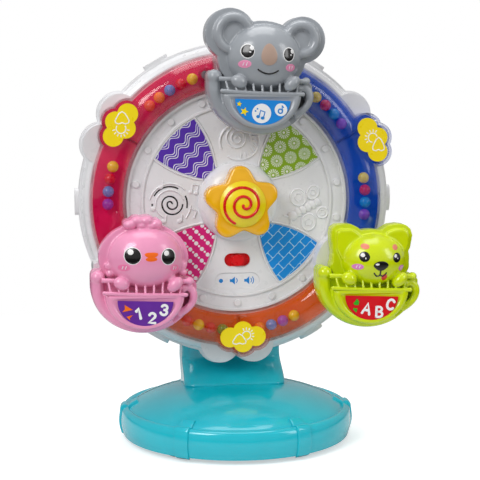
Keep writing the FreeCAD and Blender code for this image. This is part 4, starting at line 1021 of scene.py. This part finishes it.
def build_star():
    """The soft five-lobed button, and the red coil raised on its disc."""
    front, back = STAR_FRONT, -15.2
    web = [(6.0, -11.5), (13.5, -9.6), (18.0, -7.4), (18.0, 7.4), (13.5, 9.6), (6.0, 11.5)]
    pieces = [puck(0, AXLE_Z, 16.2, 16.2, front, back)]
    for k in range(5):
        a = math.radians(72 * k - 3)
        x, z = math.sin(a), math.cos(a)
        pieces.append(puck(16.6 * x, AXLE_Z + 16.6 * z, 7.3, 7.3, front + 1.0, back))
        pieces.append(cutout([(r * x + w * z, AXLE_Z + r * z - w * x) for r, w in web], front + 0.5, back))
    star = fuse("star_shape", pieces, 0.7, 26)
    amber = moulded("star_amber", paint(255, 190, 20), 0.2, coat=0.5)
    finish(star, "star_moulding", amber, "star", "yellow", ("star_button",))
    coil = []
    disc_curve = (DISC_R**2 + DISC_H**2) / (2 * DISC_H)
    for k in range(121):
        t = k / 120
        r = 12.9 - 11.6 * t
        a = math.radians(-155 + 765 * t)
        x, z = 0.6 * t + r * math.sin(a), r * math.cos(a)
        y = DISC_EDGE_Y - DISC_H + disc_curve - math.sqrt(disc_curve**2 - x * x - z * z)
        coil.append((x, y - 0.05, AXLE_Z + z))
    pieces = [line(coil, COIL_R)]
    pieces += [ball(*end, COIL_R, COIL_R, COIL_R, segments=12, rings=8) for end in (coil[0], coil[-1])]
    red = moulded("coil_red", paint(228, 24, 18), 0.25)
    finish(join("star_coil", pieces), "star_coil", red, "star", "red")


# Wheel details

RIB_FROM, RIB_TO = 26.5, 60.0
PANEL_FROM, PANEL_TO = 24.3, 59.2
BEE_WINGS = (
    (-6.6, 6.4, 5.0, 5.4, -30),
    (3.0, 9.6, 3.7, 4.4, 30),
    (0.2, -9.6, 4.4, 5.4, 10),
    (9.2, -3.6, 3.6, 3.4, -30),
)


def polar(r, angle):
    a = math.radians(angle)
    return (r * math.sin(a), AXLE_Z + r * math.cos(a))


def panel_ribs():
    """Raised lines beside the texture panels, and the arcs that close them."""
    pieces = []
    for centre in (-45, 45, 135, -135):
        for side in (-1, 1):
            path = []
            for k in range(25):
                r = RIB_FROM + (RIB_TO - RIB_FROM) * k / 24
                half = 3.7 + (17.3 - 3.7) * (r - PANEL_FROM) / (PANEL_TO - PANEL_FROM) + 1.0
                along = (r - PANEL_FROM) / 35
                bow = 2.6 * 4 * along * (1 - along)
                a = math.radians(centre) + side * math.asin(min((half + bow) / r, 0.99))
                path.append((r * math.sin(a), AXLE_Z + r * math.cos(a)))
            pieces.append(stroke(path, 0.75, FACE_Y, 0.9))
        pieces.append(stroke(arc(0, AXLE_Z, 59.6, centre - 18, centre + 18), 0.6, FACE_Y, 0.7))
    finish(join("panel_ribs", pieces), "panel_ribs", WHITE_FINE, "wheel", "white")


def snail_relief():
    cx, cz = 1.4, AXLE_Z + 38.5
    spiral = []
    for k in range(61):
        t = k / 60
        r = 1.0 + 7.4 * t
        a = math.radians(-60 + 880 * t)
        spiral.append((cx - 1.5 + r * math.sin(a), cz + 1.5 + r * math.cos(a)))
    pieces = [stroke(spiral, 0.65, FACE_Y, 0.8)]
    pieces.append(stroke(arc(cx, cz - 0.5, 12.6, -110, 215, 50, 0.92), 0.8, FACE_Y, 0.9))
    for k in range(7):
        a = 70 + 17 * k
        x0, z0 = cx + 9.0 * math.sin(math.radians(a)), cz + 8.6 * math.cos(math.radians(a))
        x1, z1 = cx + 12.4 * math.sin(math.radians(a + 6)), cz - 0.5 + 11.4 * math.cos(math.radians(a + 6))
        pieces.append(stroke([(x0, z0), (x1, z1)], 0.6, FACE_Y, 0.8))
    finish(join("snail_relief", pieces), "snail_relief", WHITE_FINE, "wheel", "white")


def bee_relief():
    """A bee: head, five body rings, four wings with a flower in each, and two feelers."""
    cx, cz = 46.4, AXLE_Z - 4.6
    tilt = math.radians(62)
    right, up = math.sin(tilt), math.cos(tilt)
    pieces = []
    for k in range(5):
        t = -7.5 + 3.6 * k
        x, z = cx + t * right, cz + t * up
        pieces.append(ball(x, FACE_Y, z, 2.2, 1.5, 3.1, turn=-28, segments=20, rings=12))
    pieces.append(ball(cx - 11.6 * right, FACE_Y, cz - 11.6 * up, 3.4, 1.8, 3.2, segments=24, rings=14))
    for x, z, rx, rz, turn in BEE_WINGS:
        c, s = math.cos(math.radians(turn)), math.sin(math.radians(turn))
        ring = []
        for k in range(29):
            a = 2 * math.pi * k / 28
            u, v = rx * math.cos(a), rz * math.sin(a)
            ring.append((cx + x + u * c + v * s, cz + z + v * c - u * s))
        pieces.append(stroke(ring, 0.75, FACE_Y, 0.9))
        pieces.append(puck(cx + x, cz + z, rx, rz, FACE_Y - 0.55, FACE_Y + 0.2, 36))
        flower = star_points(cx + x, cz + z, rx * 0.55, turn, 0.8)
        pieces.append(stroke(flower + flower[:1], 0.35, FACE_Y - 0.5, 0.5))
    for start, end in (((-12.0, -6.0), (-16.0, -5.2)), ((-11.0, -7.4), (-12.0, -12.0))):
        feeler = [(cx + start[0], cz + start[1]), (cx + end[0], cz + end[1])]
        pieces.append(stroke(feeler, 0.7, FACE_Y, 0.9))
    finish(join("bee_relief", pieces), "bee_relief", WHITE_FINE, "wheel", "white")


def grille_relief():
    """Raised arcs and small notes around the loudspeaker's slots."""
    cx, cz = -43.4, AXLE_Z - 1.5
    pieces = [
        stroke(arc(cx, cz, 9.1, -150, 70), 0.55, FACE_Y, 0.7),
        stroke(arc(cx, cz, 13.2, -75, 45), 0.55, FACE_Y, 0.7),
        stroke(arc(cx, cz, 13.4, 95, 130), 0.55, FACE_Y, 0.7),
    ]
    for a, r in ((-28, 12.6), (-105, 11.2), (150, 12.4), (-160, 11.6)):
        x, z = cx + r * math.sin(math.radians(a)), cz + r * math.cos(math.radians(a))
        pieces.append(ball(x, FACE_Y, z, 1.9, 1.0, 1.5, turn=a, segments=20, rings=12))
        pieces.append(stroke([(x + 1.3, z), (x + 1.6, z + 3.6)], 0.5, FACE_Y, 0.8))
    beam = [(14.0, 8.0), (14.6, 12.6), (18.0, 12.0), (17.4, 7.4)]
    pieces.append(stroke(moved(beam, (cx, cz)), 0.6, FACE_Y, 0.9))
    pieces.append(ball(cx + 13.2, FACE_Y, cz + 7.6, 1.7, 1.0, 1.4, segments=20, rings=12))
    pieces.append(ball(cx + 16.6, FACE_Y, cz + 7.0, 1.7, 1.0, 1.4, segments=20, rings=12))
    hook = [(14.4, -3.0), (17.0, -4.6), (15.6, -8.6)]
    pieces.append(stroke(moved(hook, (cx, cz)), 0.6, FACE_Y, 0.9))
    finish(join("grille_relief", pieces), "grille_relief", WHITE_FINE, "wheel", "white")


def switch_icons():
    """A dot and two speaker signs, printed in the shallow recess."""
    y = FACE_Y + 0.5
    z = AXLE_Z - 51.5
    horn = [(-2.2, 0.9), (-0.8, 0.9), (1.1, 2.6), (1.1, -2.6), (-0.8, -0.9), (-2.2, -0.9)]
    pieces = [puck(-10.6, z, 1.35, 1.35, y + 0.1, y - 0.08, 28)]
    for x, count in ((-2.6, 1), (6.8, 2)):
        pieces.append(cutout(moved(horn, (x, z)), y + 0.1, y - 0.08))
        for k in range(count):
            pieces.append(stroke(arc(x + 0.6, z, 2.0 + 1.3 * k, 50, 130, 12), 0.3, y, 0.08))
    finish(join("switch_icons", pieces), "switch_icons", INK_BLUE, "wheel", "label_blue")


def weather_icons():
    """White outlines of a sun behind a cloud, on the yellow labels."""
    y = -18.52
    left = ((-1.0, -0.8), (-1.08, -0.45), (-0.85, 0.05), (-0.45, 0.7))
    right = tuple((-x, z) for x, z in left[::-1])
    puff = left + ((0.0, 1.0),) + right + ((0.5, -0.95), (0.0, -0.75), (-0.5, -0.95))
    icons = {
        "pink": ((1.0, 4.4), (4.0, 3.9), (0.3, -2.2), 3.0, 180),
        "blue": ((3.9, -2.9), (3.6, 4.4), (0.0, 1.3), 2.9, -50),
        "orange": ((-2.4, -1.4), (4.0, 3.4), (2.2, 1.0), 2.7, 50),
    }
    pieces = []
    for track, (cloud, size, sun, sun_r, away) in icons.items():
        x0, z0 = polar(*LABELS[track])
        drawn = [[(x0 + cloud[0] + x * size[0], z0 + cloud[1] + z * size[1]) for x, z in puff + puff[:1]]]
        drawn.append(arc(x0 + sun[0], z0 + sun[1], sun_r, away - 120, away + 120, 24))
        for k in range(7):
            turn = away - 78 + 26 * k
            drawn.append([arc(x0 + sun[0], z0 + sun[1], sun_r + out, turn, turn, 1)[0] for out in (1.1, 2.1)])
        pieces += [stroke(path, 0.34, y, 0.12) for path in drawn]
    finish(join("weather_icons", pieces), "weather_icons", INK_WHITE, "wheel", "white")


# Base

DOME_R, DOME_RISE, DOME_FOOT_Z = 69.1, 13.6, 20.2
EDGE_R = 3.4
BASE_FOOT_Z = 3.0
STRAP_SWEEP, STRAP_TURN = 7.3, 25.0
SAME_POINT = 0.000001


def base_profile(grow):
    """Half of the base's outline, from the middle of the dome out and down."""
    points = []
    for k in range(33):
        r = DOME_R * math.sin(math.pi / 2 * k / 32)
        rise = DOME_RISE * (1 - (r / DOME_R) ** 2.6) ** 0.8
        points.append((r + grow * r / DOME_R, DOME_FOOT_Z + rise + grow))
    points += [(r + grow, z + grow) for r, z in ((69.6, 20.0), (70.3, 20.6), (71.6, 21.0))]
    for a in range(1, 8):
        t = math.radians(a * 10)
        points.append((71.4 + EDGE_R * math.sin(t) + grow, 17.6 + EDGE_R * math.cos(t) + grow))
    for k in range(9):
        t = k / 8
        points.append((75.0 + 1.0 * math.sin(math.pi * t) - 1.2 * t + grow, 16.6 - 13.4 * t))
    return points


def turned(points, sweep, steps, start=0.0):
    """A closed outline (radius, height) turned about the upright axis."""
    bpy.ops.mesh.primitive_circle_add(vertices=len(points), radius=1)
    o = bpy.context.object
    right, back = math.sin(math.radians(start)), -math.cos(math.radians(start))
    for vertex, (r, z) in zip(o.data.vertices, points):
        vertex.co = (r * MM * right, r * MM * back, z * MM)
    modify(
        o,
        "SCREW",
        angle=math.radians(sweep),
        steps=steps,
        render_steps=steps,
        use_merge_vertices=True,
        merge_threshold=SAME_POINT,
    )
    merged = (bpy.ops.mesh.remove_doubles, {"threshold": SAME_POINT})
    return edit(o, merged, (bpy.ops.mesh.fill_holes, {"sides": 0}), FACING_OUT)


def build_base():
    """The domed base, with its rounded rim and the six raised straps over it."""
    body = turned(base_profile(0.0) + [(72.0, BASE_FOOT_Z), (0.0, BASE_FOOT_Z)], 360, 160)
    outer = [p for p in base_profile(1.1) if p[0] > 63.5]
    inner = [(r - 1.6, z - 1.6) for r, z in base_profile(0.0) if r > 63.0]
    straps = []
    for k in range(6):
        strap = turned(outer + inner[::-1], STRAP_SWEEP, 6, 60 * k + STRAP_TURN - STRAP_SWEEP / 2)
        sharp = math.radians(50)
        modify(strap, "BEVEL", width=0.5 * MM, segments=2, limit_method="ANGLE", angle_limit=sharp)
        straps.append(strap)
    moulding = join("base_moulding", [body] + straps)
    finish(moulding, "base_moulding", TURQUOISE_PLAIN, "stand", "turquoise", ("base_cover",))


# Materials that several pieces share

LABEL_INK = {
    "koala": moulded("label_blue", paint(0, 140, 230), 0.35),
    "chick": moulded("label_purple", paint(104, 38, 158), 0.35),
    "dog": moulded("label_red", paint(222, 0, 18), 0.35),
}
TURQUOISE = moulded("turquoise_gloss", paint(18, 190, 208), 0.16, edge=0.8, coat=0.5)
TURQUOISE_PLAIN = moulded("turquoise_dome", paint(18, 190, 208), 0.16, coat=0.5)
WHITE = moulded("white_gloss", paint(240, 240, 242), 0.3, edge=0.7)
WHITE_FINE = moulded("white_relief", paint(240, 240, 242), 0.3)
GREY = moulded("grey_gloss", paint(164, 169, 175), 0.22, coat=0.4)
ROSY = moulded("rosy_gloss", paint(246, 160, 198), 0.22, coat=0.4)
LIME = moulded("lime_gloss", paint(214, 232, 0), 0.22, coat=0.4)
INK_WHITE = moulded("ink_white", paint(250, 250, 250), 0.4, coat=0.0)
INK_BLACK = moulded("ink_black", paint(22, 20, 22), 0.18, coat=0.3)
INK_BLUE = moulded("ink_blue", paint(20, 135, 215), 0.4, coat=0.0)
INK_YELLOW = moulded("ink_yellow", paint(255, 226, 0), 0.4, coat=0.0)
CHEEK_PINK = moulded("cheek_pink", paint(250, 155, 195), 0.4)
CHEEK_ROSE = moulded("cheek_rose", paint(245, 125, 175), 0.4)

set_camera()
set_studio()
lay_floor()
dress_solids()
build_base()
build_carriages()
build_star()
panel_ribs()
snail_relief()
bee_relief()
grille_relief()
switch_icons()
weather_icons()
